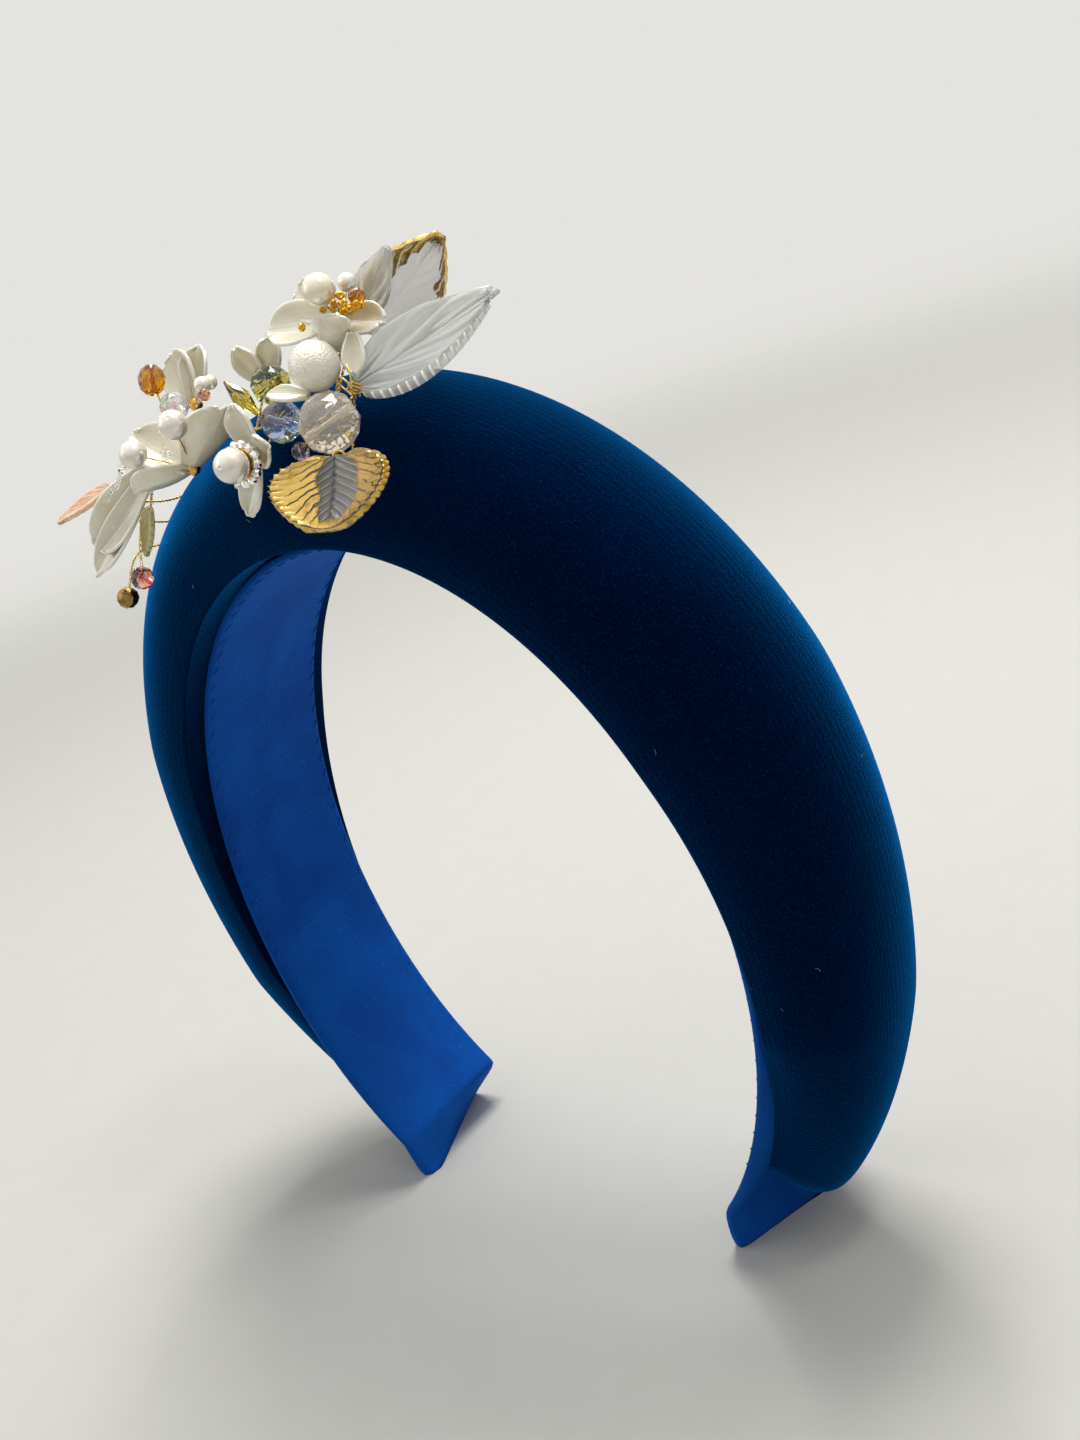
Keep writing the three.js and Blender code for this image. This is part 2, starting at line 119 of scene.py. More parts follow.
def padPoint(along, turn, clear=0.0):  # turn 0 is the back edge, 180 the front edge, below them is flat
    point, _, outward, width, height = station(along)
    angle = math.radians(turn)
    over = math.sin(angle) >= -1e-9
    across = power(math.cos(angle), 2 / band["roundness"]) if over else math.cos(angle)
    up = abs(math.sin(angle)) ** (2 / band["roundness"]) if over else 0
    return inFrame(point + outward * (up * (height + clear)) + Vector((0, across * (width / 2 + clear), 0)))


def smoothPath(points, step=0.6):  # a curve through every point, step in mm
    ends = [2 * points[0] - points[1], *points, 2 * points[-1] - points[-2]]
    made = []
    for a, b, c, d in zip(ends, ends[1:], ends[2:], ends[3:]):
        count = max(2, round((c - b).length / (step * mm)))
        bend, swing = 2 * a - 5 * b + 4 * c - d, 3 * b - a - 3 * c + d
        for k in range(count):
            t = k / count
            made.append(0.5 * (2 * b + (c - a) * t + bend * t * t + swing * t ** 3))
    return made + [points[-1]]


# mesh helpers
def addObject(name, data):
    made = bpy.data.objects.new(name, data)
    scene.collection.objects.link(made)
    return made


def faceOut(mesh):
    work = bmesh.new()
    work.from_mesh(mesh)
    bmesh.ops.recalc_face_normals(work, faces=work.faces)
    work.to_mesh(mesh)
    work.free()
    return mesh


def finishMesh(name, points, faces, spots):
    mesh = bpy.data.meshes.new(name)
    mesh.from_pydata(points, [], faces)
    mesh.uv_layers.new(name="surface").data.foreach_set("uv", spots)
    return faceOut(mesh)


def gridMesh(name, across, down, pointAt, wrap=False):
    rows = down if wrap else down + 1
    points = [pointAt(i / across, j / down) for i in range(across + 1) for j in range(rows)]
    faces, spots = [], []
    for i in range(across):
        for j in range(down):
            k = (j + 1) % rows
            faces.append((i * rows + j, (i + 1) * rows + j, (i + 1) * rows + k, i * rows + k))
            left, right, low, high = i / across, (i + 1) / across, j / down, (j + 1) / down
            spots += [left, low, right, low, right, high, left, high]
    if wrap:  # close both ends
        faces += [tuple(range(rows)), tuple(range(across * rows, (across + 1) * rows))]
        spots += [0.0, 0.0] * rows + [1.0, 0.0] * rows
    return finishMesh(name, points, faces, spots)


def latheMesh(name, profile, sides, axis, at):  # closed profile: reach, rise, share of a facet turned
    turnTo = Vector((0, 0, 1)).rotation_difference(axis).to_matrix()
    points, faces, spots = [], [], []
    for reach, rise, shift in profile:
        for i in range(sides):
            angle = (i + shift) / sides * math.tau
            points.append(at + turnTo @ Vector((reach * math.cos(angle), reach * math.sin(angle), rise)))
    count = len(profile)
    for row in range(count):
        low, high = row, (row + 1) % count
        for i in range(sides):
            j = (i + 1) % sides
            a, b, c, d = low * sides + i, low * sides + j, high * sides + j, high * sides + i
            u0, u1, v0, v1 = i / sides, (i + 1) / sides, row / count, (row + 1) / count
            if profile[low][2] == profile[high][2]:
                faces.append((a, b, c, d))
                spots += [u0, v0, u1, v0, u1, v1, u0, v1]
            elif profile[high][2] > profile[low][2]:
                faces += [(a, b, d), (b, c, d)]
                spots += [u0, v0, u1, v0, u0, v1, u1, v0, u1, v1, u0, v1]
            else:
                faces += [(a, b, c), (a, c, d)]
                spots += [u0, v0, u1, v0, u1, v1, u0, v0, u1, v1, u0, v1]
    return finishMesh(name, points, faces, spots)


def addPiece(name, mesh, material, smooth=True):
    piece = addObject(name, mesh)
    mesh.materials.clear()
    mesh.materials.append(material)
    mesh.polygons.foreach_set("use_smooth", [smooth] * len(mesh.polygons))
    return piece


def finalMesh(piece):
    graph = bpy.context.evaluated_depsgraph_get()
    return bpy.data.meshes.new_from_object(piece.evaluated_get(graph))


def bakeModifiers(piece):
    made, old = finalMesh(piece), piece.data
    piece.modifiers.clear()
    piece.data = made
    bpy.data.meshes.remove(old)
    made.name = piece.name
    return piece


def subdivide(piece, levels):
    soft = piece.modifiers.new("softRim", "SUBSURF")
    soft.levels = soft.render_levels = levels


def thicken(piece, thick, levels=1, rim=None):
    shell = piece.modifiers.new("thickness", "SOLIDIFY")
    shell.thickness, shell.offset = thick * mm, 0
    if rim:
        piece.data.materials.append(rim)
        shell.material_offset_rim = 1
    if levels:
        subdivide(piece, levels)
    return bakeModifiers(piece)


def joinPieces(pieces, name):
    main = pieces[0]
    chosen = {"active_object": main, "object": main}
    chosen["selected_objects"] = chosen["selected_editable_objects"] = pieces
    with bpy.context.temp_override(**chosen):
        bpy.ops.object.join()
    main.name = main.data.name = name
    return main


def settle(piece, slot, *nodes):
    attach(piece, "root")
    if nodes:
        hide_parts(*nodes)
    return piece


# node helpers
def pick(sockets, name):
    return next(s for s in sockets if s.name == name and s.enabled)


def node(tree, kind, values=None, **settings):
    made = tree.nodes.new(kind)
    for key, value in settings.items():
        setattr(made, key, value)
    for key, value in (values or {}).items():
        target = made.inputs[key] if isinstance(key, int) else pick(made.inputs, key)
        if isinstance(value, bpy.types.NodeSocket):
            tree.links.new(value, target)
        else:
            target.default_value = value
    return made


def out(made, name=None):
    return pick(made.outputs, name) if name else next(s for s in made.outputs if s.enabled)


def feed(target, values):
    for key, value in values.items():
        target.id_data.links.new(value, target.inputs[key])


def math2(tree, operation, a, b=0.0):
    return out(node(tree, "ShaderNodeMath", {0: a, 1: b}, operation=operation))


def plus(tree, a, b):
    return math2(tree, "ADD", a, b)


def minus(tree, a, b):
    return math2(tree, "SUBTRACT", a, b)


def times(tree, a, b):
    return math2(tree, "MULTIPLY", a, b)


def wave(tree, value, turn, kind="SINE"):
    return math2(tree, kind, times(tree, value, turn))


def ramp(tree, value, low, high, toLow=0.0, toHigh=1.0):
    values = {"Value": value, "From Min": low, "From Max": high, "To Min": toLow, "To Max": toHigh}
    return out(node(tree, "ShaderNodeMapRange", values, interpolation_type="SMOOTHSTEP"), "Result")


def mix(tree, factor, a, b):
    values = {"Factor": factor, "A": a, "B": b}
    return out(node(tree, "ShaderNodeMix", values, data_type="RGBA"), "Result")


def cloud(tree, spot, scale, detail, more=None):
    values = {"Vector": spot, "Scale": scale, "Detail": detail, **(more or {})}
    return out(node(tree, "ShaderNodeTexNoise", values))


def tone(code):  # sRGB hex to a linear colour
    parts = [int(code[k:k + 2], 16) / 255 for k in (0, 2, 4)]
    return (*[p / 12.92 if p <= 0.04045 else ((p + 0.055) / 1.055) ** 2.4 for p in parts], 1.0)


def groupTree(name, kind, inputs, outputs):
    tree = bpy.data.node_groups.new(name, kind)
    for label, socket, value in inputs:
        made = tree.interface.new_socket(label, in_out="INPUT", socket_type=socket)
        if value is not None:
            made.default_value = value
    for label, socket in outputs:
        tree.interface.new_socket(label, in_out="OUTPUT", socket_type=socket)
    return tree, node(tree, "NodeGroupInput").outputs, node(tree, "NodeGroupOutput")


def shaderGroup(name, inputs, outputs):
    return groupTree(name, "ShaderNodeTree", [("Spot", vector, None), *inputs], outputs)


def useGroup(tree, group, values):
    return node(tree, "ShaderNodeGroup", {"Spot": objectSpot(tree), **values}, node_tree=group).outputs


def newMaterial(name, values):
    made = bpy.data.materials.new(name)
    made.use_nodes = True
    tree = made.node_tree
    shader = tree.nodes["Principled BSDF"]
    for key, value in values.items():
        shader.inputs[key].default_value = value
    return made, tree, shader


def objectSpot(tree):
    return out(node(tree, "ShaderNodeTexCoord"), "Object")


def surfaceSpot(tree):
    split = node(tree, "ShaderNodeSeparateXYZ", {0: out(node(tree, "ShaderNodeUVMap", uv_map="surface"))})
    return split.outputs["X"], split.outputs["Y"]


def fromMiddle(tree, v):  # -1 at one side of a blade, 1 at the other
    return minus(tree, times(tree, v, 2.0), 1.0)


def bump(tree, shader, height, strength, deep):  # deep in mm
    values = {"Height": height, "Strength": strength, "Distance": deep * mm}
    feed(shader, {"Normal": out(node(tree, "ShaderNodeBump", values))})


number, colour, vector = "NodeSocketFloat", "NodeSocketColor", "NodeSocketVector"


# pile of velvet and fuzzy cloth: lay of the pile, bright flecks, height
def buildPileGroup():
    tree, given, last = shaderGroup("clothPile", [
        ("Pile Scale", number, 2600), ("Lay Scale", number, 40),
        ("Fleck Scale", number, 900), ("Fleck Share", number, 0.2),
    ], [("Lay", number), ("Flecks", number), ("Height", number)])
    fine = cloud(tree, given["Spot"], given["Pile Scale"], 3, {"Roughness": 0.65})
    lay = cloud(tree, given["Spot"], given["Lay Scale"], 4, {"Distortion": 0.4})
    cell = node(tree, "ShaderNodeTexVoronoi", {"Vector": given["Spot"], "Scale": given["Fleck Scale"]})
    dot = ramp(tree, out(cell, "Distance"), 0.32, 0.08)
    chance = out(node(tree, "ShaderNodeSeparateColor", {0: out(cell, "Color")}), "Red")
    some = math2(tree, "LESS_THAN", chance, given["Fleck Share"])
    feed(last, {"Lay": ramp(tree, lay, 0.3, 0.7), "Flecks": times(tree, dot, some), "Height": fine})
    return tree


# nacre: slow swirls of cream, rose and cool white, with fine flakes
def buildNacreGroup():
    tree, given, last = shaderGroup("nacreTone", [
        ("Body", colour, (0.8, 0.76, 0.66, 1)), ("Rose", colour, (0.8, 0.66, 0.6, 1)),
        ("Cool", colour, (0.75, 0.8, 0.8, 1)), ("Swirl Scale", number, 260), ("Flake Scale", number, 2600),
    ], [("Color", colour), ("Flakes", number), ("Height", number)])
    swirl = cloud(tree, given["Spot"], given["Swirl Scale"], 3, {"Distortion": 1.2})
    flake = cloud(tree, given["Spot"], given["Flake Scale"], 2)
    warm = mix(tree, ramp(tree, swirl, 0.5, 0.72), given["Body"], given["Rose"])
    cool = mix(tree, ramp(tree, swirl, 0.48, 0.28), warm, given["Cool"])
    feed(last, {"Color": cool, "Flakes": ramp(tree, flake, 0.45, 0.7), "Height": flake})
    return tree


# metal: tarnish in patches, rougher where it is dull
def buildMetalGroup():
    tree, given, last = shaderGroup("metalWear", [
        ("Bright", colour, (0.9, 0.65, 0.25, 1)), ("Dull", colour, (0.5, 0.32, 0.1, 1)),
        ("Scale", number, 900),
    ], [("Color", colour), ("Roughness", number), ("Height", number)])
    patch = cloud(tree, given["Spot"], given["Scale"], 4, {"Roughness": 0.6})
    worn = mix(tree, ramp(tree, patch, 0.48, 0.75), given["Bright"], given["Dull"])
    feed(last, {"Color": worn, "Roughness": ramp(tree, patch, 0.3, 0.75, 0.16, 0.38), "Height": patch})
    return tree


# cut and pressed glass: faint colour zones, smudges and a slow wave in the surface
def buildGlassGroup():
    tree, given, last = shaderGroup("glassFlaws", [
        ("Body", colour, (1, 1, 1, 1)), ("Zone", colour, (0.9, 0.9, 1, 1)), ("Scale", number, 220),
    ], [("Color", colour), ("Roughness", number), ("Height", number)])
    zone = cloud(tree, given["Spot"], given["Scale"], 2, {"Distortion": 0.8})
    smudge = cloud(tree, given["Spot"], 1500, 3)
    zoned = mix(tree, ramp(tree, zone, 0.42, 0.66), given["Body"], given["Zone"])
    feed(last, {"Color": zoned, "Roughness": ramp(tree, smudge, 0.45, 0.8, 0.02, 0.12), "Height": zone})
    return tree


pileGroup, nacreGroup = buildPileGroup(), buildNacreGroup()
metalGroup, glassGroup = buildMetalGroup(), buildGlassGroup()
weaveTurn = 900.0  # radians of ground weave round the section


def velvetMaterial():
    made, tree, shader = newMaterial("navyVelvet", {
        "Sheen Weight": 1.0, "Sheen Roughness": 0.36, "Sheen Tint": (0.01, 0.3, 0.95, 1),
        "Specular IOR Level": 0.0})
    pile = useGroup(tree, pileGroup, {
        "Pile Scale": 2400, "Lay Scale": 38, "Fleck Scale": 2300, "Fleck Share": 0.3})
    body = mix(tree, pile["Lay"], tone("00071a"), tone("000c27"))
    grain = mix(tree, ramp(tree, pile["Height"], 0.4, 0.75), body, tone("001642"))
    flecked = mix(tree, times(tree, pile["Flecks"], 0.26), grain, tone("1c5a9c"))
    feed(shader, {"Base Color": flecked, "Roughness": ramp(tree, pile["Height"], 0.2, 0.8, 0.8, 0.98)})
    _, v = surfaceSpot(tree)
    rib = times(tree, wave(tree, v, weaveTurn), 0.06)  # ground weave under the pile
    bump(tree, shader, plus(tree, pile["Height"], rib), 0.5, 0.4)
    return made


def liningMaterial():
    made, tree, shader = newMaterial("royalBlueCloth", {
        "Sheen Weight": 0.45, "Sheen Roughness": 0.4, "Sheen Tint": (0.0, 0.28, 0.9, 1),
        "Specular IOR Level": 0.1})
    pile = useGroup(tree, pileGroup, {
        "Pile Scale": 1700, "Lay Scale": 60, "Fleck Scale": 1300, "Fleck Share": 0.1})
    body = mix(tree, pile["Lay"], tone("0146a0"), tone("0154b4"))
    fuzzy = mix(tree, times(tree, pile["Flecks"], 0.4), body, tone("4a8cd8"))
    feed(shader, {"Base Color": fuzzy, "Roughness": ramp(tree, pile["Height"], 0.2, 0.8, 0.62, 0.9)})
    u, v = surfaceSpot(tree)
    weave = times(tree, times(tree, wave(tree, u, 4600.0), wave(tree, v, weaveTurn)), 0.35)
    bump(tree, shader, plus(tree, pile["Height"], weave), 0.5, 0.3)
    return made


def metalMaterial(name, bright, dull, scale):
    made, tree, shader = newMaterial(name, {"Metallic": 1.0})
    wear = useGroup(tree, metalGroup, {"Bright": tone(bright), "Dull": tone(dull), "Scale": scale})
    feed(shader, {"Base Color": wear["Color"], "Roughness": wear["Roughness"]})
    bump(tree, shader, wear["Height"], 0.25, 0.1)
    return made


def pearlMaterial(name, body, rose, cool, rough, flakes, swirl=260):
    made, tree, shader = newMaterial(name, {
        "Metallic": 0.35, "Coat Weight": 0.9, "Coat Roughness": 0.16, "Coat IOR": 1.65,
        "Subsurface Weight": 0.25, "Subsurface Scale": 0.0012, "Subsurface Radius": (1.0, 0.8, 0.6),
        "Thin Film Thickness": 320.0, "Thin Film IOR": 1.5})
    nacre = useGroup(tree, nacreGroup, {
        "Body": tone(body), "Rose": tone(rose), "Cool": tone(cool), "Swirl Scale": swirl})
    grit = ramp(tree, nacre["Flakes"], 0, 1, rough, rough + 0.05)
    feed(shader, {"Base Color": nacre["Color"], "Roughness": grit})
    bump(tree, shader, nacre["Height"], flakes, 0.3)
    return made


# pearly petal: swirled nacre, with a painted highlight on the rim and tip and painted shade toward the hub
def petalMaterial(name, body, rose, cool, rim):
    made, tree, shader = newMaterial(name, {
        "Metallic": 0.12, "Coat Weight": 1.0, "Coat Roughness": 0.1, "Coat IOR": 1.65,
        "Subsurface Weight": 0.35, "Subsurface Scale": 0.0014, "Subsurface Radius": (1.0, 0.85, 0.65)})
    nacre = useGroup(tree, nacreGroup, {
        "Body": tone(body), "Rose": tone(rose), "Cool": tone(cool), "Swirl Scale": 150, "Flake Scale": 2000})
    u, v = surfaceSpot(tree)
    reach = math2(tree, "ABSOLUTE", fromMiddle(tree, v))
    # painted highlight: the rim and tip are lightened toward the rim tone, standing in for light catching the
    # edges
    edge = math2(tree, "MAXIMUM", ramp(tree, reach, 0.86, 1.0), ramp(tree, u, 0.9, 1.0))
    tinted = mix(tree, times(tree, edge, 0.7), nacre["Color"], tone(rim))
    hubShadeShare = times(tree, ramp(tree, u, 0.35, 0.0), 0.5)
    deep = mix(tree, hubShadeShare, tinted, tone("a89a72"))  # painted shade, darker toward the hub where the petals meet
    feed(shader, {"Base Color": deep, "Roughness": ramp(tree, nacre["Flakes"], 0, 1, 0.2, 0.27)})
    streak = math2(tree, "SINE", plus(tree, times(tree, v, 60.0), times(tree, nacre["Height"], 4.0)))
    bump(tree, shader, plus(tree, times(tree, streak, 0.2), times(tree, nacre["Height"], 0.25)), 0.16, 0.3)
    return made


# moulded and see-through, with paler curved veins
def milkMaterial(name, body, vein, veins, slant, clear, rib="ffffff", depth=0.2):
    made, tree, shader = newMaterial(name, {
        "Transmission Weight": clear, "IOR": 1.42, "Coat Weight": 0.8, "Coat Roughness": 0.06,
        "Subsurface Weight": 0.7, "Subsurface Scale": 0.003, "Subsurface Radius": (1.0, 1.0, 0.95)})
    nacre = useGroup(tree, nacreGroup, {
        "Body": tone(body), "Rose": tone(body), "Cool": tone(vein), "Swirl Scale": 90})
    u, v = surfaceSpot(tree)
    reach = math2(tree, "ABSOLUTE", fromMiddle(tree, v))
    ridges = wave(tree, minus(tree, u, times(tree, reach, slant)), math.tau * veins, "COSINE")
    line = times(tree, ramp(tree, ridges, 0.85, 1.0), ramp(tree, reach, 0.04, 0.12))
    veined = mix(tree, times(tree, line, 0.7), nacre["Color"], tone("ffffff"))
    ribbed = mix(tree, ramp(tree, reach, 0.06, 0.02), veined, tone(rib))
    feed(shader, {"Base Color": ribbed, "Roughness": ramp(tree, nacre["Flakes"], 0, 1, 0.08, 0.2)})
    bump(tree, shader, plus(tree, times(tree, nacre["Height"], 0.3), times(tree, ridges, 0.5)), depth, 0.3)
    return made


def tickMaterial(name, ticks):  # a clear strip crossed by white bars
    made, tree, shader = newMaterial(name, {"Coat Weight": 1.0, "Coat Roughness": 0.05, "IOR": 1.45})
    nacre = useGroup(tree, nacreGroup, {
        "Body": tone("d9d9d2"), "Rose": tone("cfcac0"), "Cool": tone("e6ecec"), "Swirl Scale": 300})
    u, _ = surfaceSpot(tree)
    bar = ramp(tree, wave(tree, u, math.tau * ticks, "COSINE"), 0.55, 0.85)
    feed(shader, {
        "Base Color": mix(tree, bar, nacre["Color"], tone("ffffff")),
        "Alpha": ramp(tree, bar, 0, 1, 0.4, 1.0),
        "Roughness": ramp(tree, nacre["Flakes"], 0, 1, 0.06, 0.18)})
    bump(tree, shader, bar, 0.3, 0.3)
    return made


def flawedMaterial(name, finish, body, zone, scale, relief, deep):
    made, tree, shader = newMaterial(name, finish)
    flaws = useGroup(tree, glassGroup, {"Body": tone(body), "Zone": tone(zone), "Scale": scale})
    feed(shader, {"Base Color": flaws["Color"], "Roughness": flaws["Roughness"]})
    bump(tree, shader, flaws["Height"], relief, deep)
    return made


def foilStoneMaterial(name, body, zone):  # foil-backed stone
    finish = {"Metallic": 1.0, "Coat Weight": 1.0, "Coat Roughness": 0.02}
    return flawedMaterial(name, finish, body, zone, 900, 0.05, 0.2)


def glassMaterial(name, body, zone, ior, film, scale, clear=1.0):
    finish = {"Transmission Weight": clear, "IOR": ior, "Thin Film Thickness": film, "Thin Film IOR": 1.9}
    return flawedMaterial(name, {**finish, "Specular IOR Level": 0.6}, body, zone, scale, 0.1, 0.3)


def goldFilmMaterial(name, leaf):  # brushed on from the rim, with bare streaks running out along the veins
    made, tree, shader = newMaterial(name, {"Metallic": 0.6, "Specular IOR Level": 0.7})
    spot, dull = objectSpot(tree), tone(leaf["dull"])
    wear = useGroup(tree, metalGroup, {"Bright": tone(leaf["bright"]), "Dull": dull, "Scale": 500})
    u, v = surfaceSpot(tree)
    side = fromMiddle(tree, v)
    reach = math2(tree, "ABSOLUTE", side)
    start = ramp(tree, side, -0.15, 0.15, leaf["goldLeft"], leaf["goldRight"])
    rough = minus(tree, cloud(tree, spot, 260.0, 4), 0.5)
    lay = minus(tree, u, times(tree, reach, leaf["slant"]))
    turn = plus(tree, times(tree, lay, math.tau * leaf["streaks"]), times(tree, rough, 9.0))
    some = ramp(tree, cloud(tree, spot, 170.0, 1), 0.36, 0.5)
    streak = times(tree, ramp(tree, math2(tree, "SINE", turn), 0.7, 1.0), some)
    bare = times(tree, streak, plus(tree, times(tree, rough, 1.2), leaf["streakReach"]))
    torn = minus(tree, bare, times(tree, rough, leaf["ragged"]))
    edge = minus(tree, minus(tree, reach, start), torn)
    rim = minus(tree, math2(tree, "MAXIMUM", reach, u), leaf["rimFrom"])
    depth = math2(tree, "MAXIMUM", edge, rim)
    # painted shade: the lobe on the side away from brightSide is mixed toward the dull tone, partly its
    # bronze wear and partly painted shade
    away = ramp(tree, times(tree, side, leaf["brightSide"]), 0.2, -0.5)
    wearAndSideShade = mix(tree, 0.3, mix(tree, away, wear["Color"], dull), wear["Color"])
    feed(shader, {
        "Base Color": mix(tree, ramp(tree, depth, 0.0, 0.12), dull, wearAndSideShade),
        "Alpha": ramp(tree, depth, -0.01, 0.05), "Roughness": wear["Roughness"]})
    bump(tree, shader, minus(tree, wear["Height"], times(tree, streak, 0.3)), 0.2, 0.2)
    return made


looks = {
    "velvet": velvetMaterial(),
    "lining": liningMaterial(),
    "wire": metalMaterial("goldWire", "e8c878", "8a6a2c", 1400),
    "seedGold": metalMaterial("goldSeedBead", "e6b23e", "7e5614", 1100),
    "setting": metalMaterial("goldSetting", "d9b061", "6e4c1c", 1000),
    "giltRim": metalMaterial("giltRim", "dcb660", "8a6428", 600),
    "bronze": metalMaterial("bronzeBead", "9c7a48", "4a3820", 700),
    "cream": pearlMaterial("creamPearl", "f8ecd2", "f4dcc0", "f8f3e6", 0.18, 0.01),
    "white": pearlMaterial("whitePearl", "f4efe2", "f0e0d2", "f0f3ee", 0.18, 0.01),
    "cotton": pearlMaterial("cottonPearl", "f7f2e2", "f2e4d6", "f0f2e8", 0.36, 0.9, 500),
    # the last tone of each petal look is its painted rim highlight
    "petal": petalMaterial("pearlPetal", "e2ddc8", "dcd2ba", "e6eae0", "fbfaf2"),
    "blush": petalMaterial("blushLeaf", "e6b48c", "dc9a78", "e8c8a0", "f0d0ac"),
    "oliveLeaf": petalMaterial("oliveLeaf", "a89a34", "98862a", "b4ac5a", "c8c07a"),
    "milky": milkMaterial("milkyLeaf", "f6faf6", "fafdfa", 3, 0.75, 0.6),
    "misty": milkMaterial("mistyLeaf", "f4f6f1", "fdfefc", 2, 0.8, 0.75),
    "ticks": tickMaterial("tickedRim", 17),
    "veinedGlass": milkMaterial("veinedGlass", "8d877c", "b4b0a6", 9, 0.45, 0.6, "3c3a38", 1.0),
    "frost": milkMaterial("palestLeaf", "fefcfb", "ffffff", 6, 0.5, 0.5),
    "crystal": glassMaterial("clearCrystal", "fffaee", "fbf0e0", 1.46, 0.0, 160, 0.78),
    "blue": glassMaterial("blueCrystal", "a2c4f4", "ecc4ae", 1.5, 0.0, 260, 0.88),
    "olive": glassMaterial("oliveCrystal", "dcd46e", "b4a838", 1.54, 0.0, 150),
    "oliveDrop": glassMaterial("oliveDrop", "e0d060", "b8a62c", 1.54, 0.0, 150),
    "amber": glassMaterial("amberCrystal", "da9408", "b87204", 1.54, 0.0, 260),
    "opal": glassMaterial("opalCrystal", "f4f4f6", "f0c8d4", 1.54, 520.0, 240, 0.8),
    "purple": glassMaterial("purpleGlass", "b7a6c4", "cdb2ae", 1.54, 0.0, 300),
    "pink": glassMaterial("pinkCrystal", "e6b0a0", "e87a78", 1.56, 0.0, 300),
    "whiteStone": foilStoneMaterial("whiteStone", "ffffff", "c4c8d2"),
    "clearSeed": glassMaterial("clearSeed", "ffffff", "f0f0f4", 1.5, 0.0, 500),
}
print("materials made:", len(looks))


# velvet pad: lofted a little slack, then blown up as cloth with its flat underside held
velvet = {
    "rings": 132, "sides": 64, "evenShare": 0.45, "slack": 0.5, "slackTo": 0.985,
    "pressure": 6.0, "frames": 14, "swell": 0.9, "simScale": 20, "fill": 0.85,
}


def crowdedEnds(u, reach, even):  # place along the band, with closer rings toward both ends
    step = 2 * u - 1
    return reach * (even * step + (1 - even) * math.sin(step * math.pi / 2))


def velvetPoint(u, v):
    along = crowdedEnds(u, padLength, velvet["evenShare"])
    return padPoint(along, 270 + 360 * v, -velvet["slack"] if abs(2 * u - 1) < velvet["slackTo"] else 0.0)


def puff(piece, spec, held):
    scale = spec["simScale"]
    start = np.array([v.co for v in piece.data.vertices])
    piece.data.transform(Matrix.Scale(scale, 4))
    piece.vertex_groups.new(name="held").add(held, 1.0, "REPLACE")
    cloth = piece.modifiers.new("puff", "CLOTH")
    cloth.settings.vertex_group_mass = "held"
    cloth.settings.use_pressure = True
    cloth.settings.uniform_pressure_force = spec["pressure"]
    cloth.settings.effector_weights.gravity = 0
    cloth.point_cache.frame_end = spec["frames"]
    for step in range(1, spec["frames"] + 1):
        scene.frame_set(step)
    graph = bpy.context.evaluated_depsgraph_get()
    blown = np.array([v.co for v in piece.evaluated_get(graph).data.vertices]) / scale
    piece.modifiers.remove(cloth)
    piece.vertex_groups.clear()
    scene.frame_set(1)
    move = blown - start
    length = np.linalg.norm(move, axis=1, keepdims=True)
    capped = start + move * np.minimum(1, spec["swell"] * mm / np.maximum(length, 1e-9))
    piece.data.vertices.foreach_set("co", capped.ravel())
    piece.data.update()
    print("velvet swelled by up to", round(float(length.max()) / mm, 2), "mm")


def buildVelvet():
    mesh = gridMesh("velvetPad", velvet["rings"], velvet["sides"], velvetPoint, True)
    piece = addPiece("velvetPad", mesh, looks["velvet"])
    quarter, rows = velvet["sides"] // 4, velvet["sides"]
    under = [i for i in range(len(mesh.vertices)) if i % rows <= quarter or i % rows >= rows - quarter]
    puff(piece, velvet, under)
    subdivide(piece, 1)
    bakeModifiers(piece)
    settle(piece, "velvet", "velvet_pad")
    return piece


velvetPad = buildVelvet()
print("velvet pad:", len(velvetPad.data.polygons), "faces")


# blue lining on the inner face, running past the velvet as a folded tip
lining = {
    "halfWidth": 16, "thick": 2, "tipThick": 4.2, "pastVelvet": 7, "cornerRun": 5, "gap": 0.3,
    "tipOut": 6, "tipTwist": 5.5, "tipDrop": 6, "tipFrom": 1.5, "tipNarrow": 0.25,
    "squareAcross": 0.22, "squareThrough": 0.55, "evenShare": 0.25, "steps": 170, "sides": 48,
}


def smoothstep(value, low, high):
    t = min(max((value - low) / (high - low), 0), 1)
    return t * t * (3 - 2 * t)


def liningPoint(u, v):
    reach = padLength + lining["pastVelvet"]
    along = crowdedEnds(u, reach, lining["evenShare"])
    point, _, outward, _, _ = station(along)
    turn = math.tau * v
    across = power(math.cos(turn), lining["squareAcross"])
    through = power(math.sin(turn), lining["squareThrough"])
    endShare = min(max(0, abs(along) - reach + lining["cornerRun"]) / lining["cornerRun"], 1)
    narrowing = 1 - lining["tipNarrow"] + lining["tipNarrow"] * math.sqrt(1 - endShare ** 2)
    swell = smoothstep(abs(along), padLength + lining["tipFrom"], reach)
    thick = lining["thick"] + swell * (lining["tipThick"] - lining["thick"])
    lift = (thick - 2 * lining["thick"]) / 2 - lining["gap"] + through * thick / 2
    corner = point + outward * lift
    corner.x += math.copysign(swell * (lining["tipOut"] + lining["tipTwist"] * across), along)
    corner.z -= swell * lining["tipDrop"]
    corner.y = across * (lining["halfWidth"] * narrowing)
    spot = inFrame(corner)
    spot.z = max(spot.z, 0.0)
    return spot


def buildLining():
    mesh = gridMesh("blueLining", lining["steps"], lining["sides"], liningPoint, True)
    piece = addPiece("blueLining", mesh, looks["lining"])
    settle(piece, "lining", "lining")
    return piece


blueLining = buildLining()
print("lining:", len(blueLining.data.polygons), "faces")


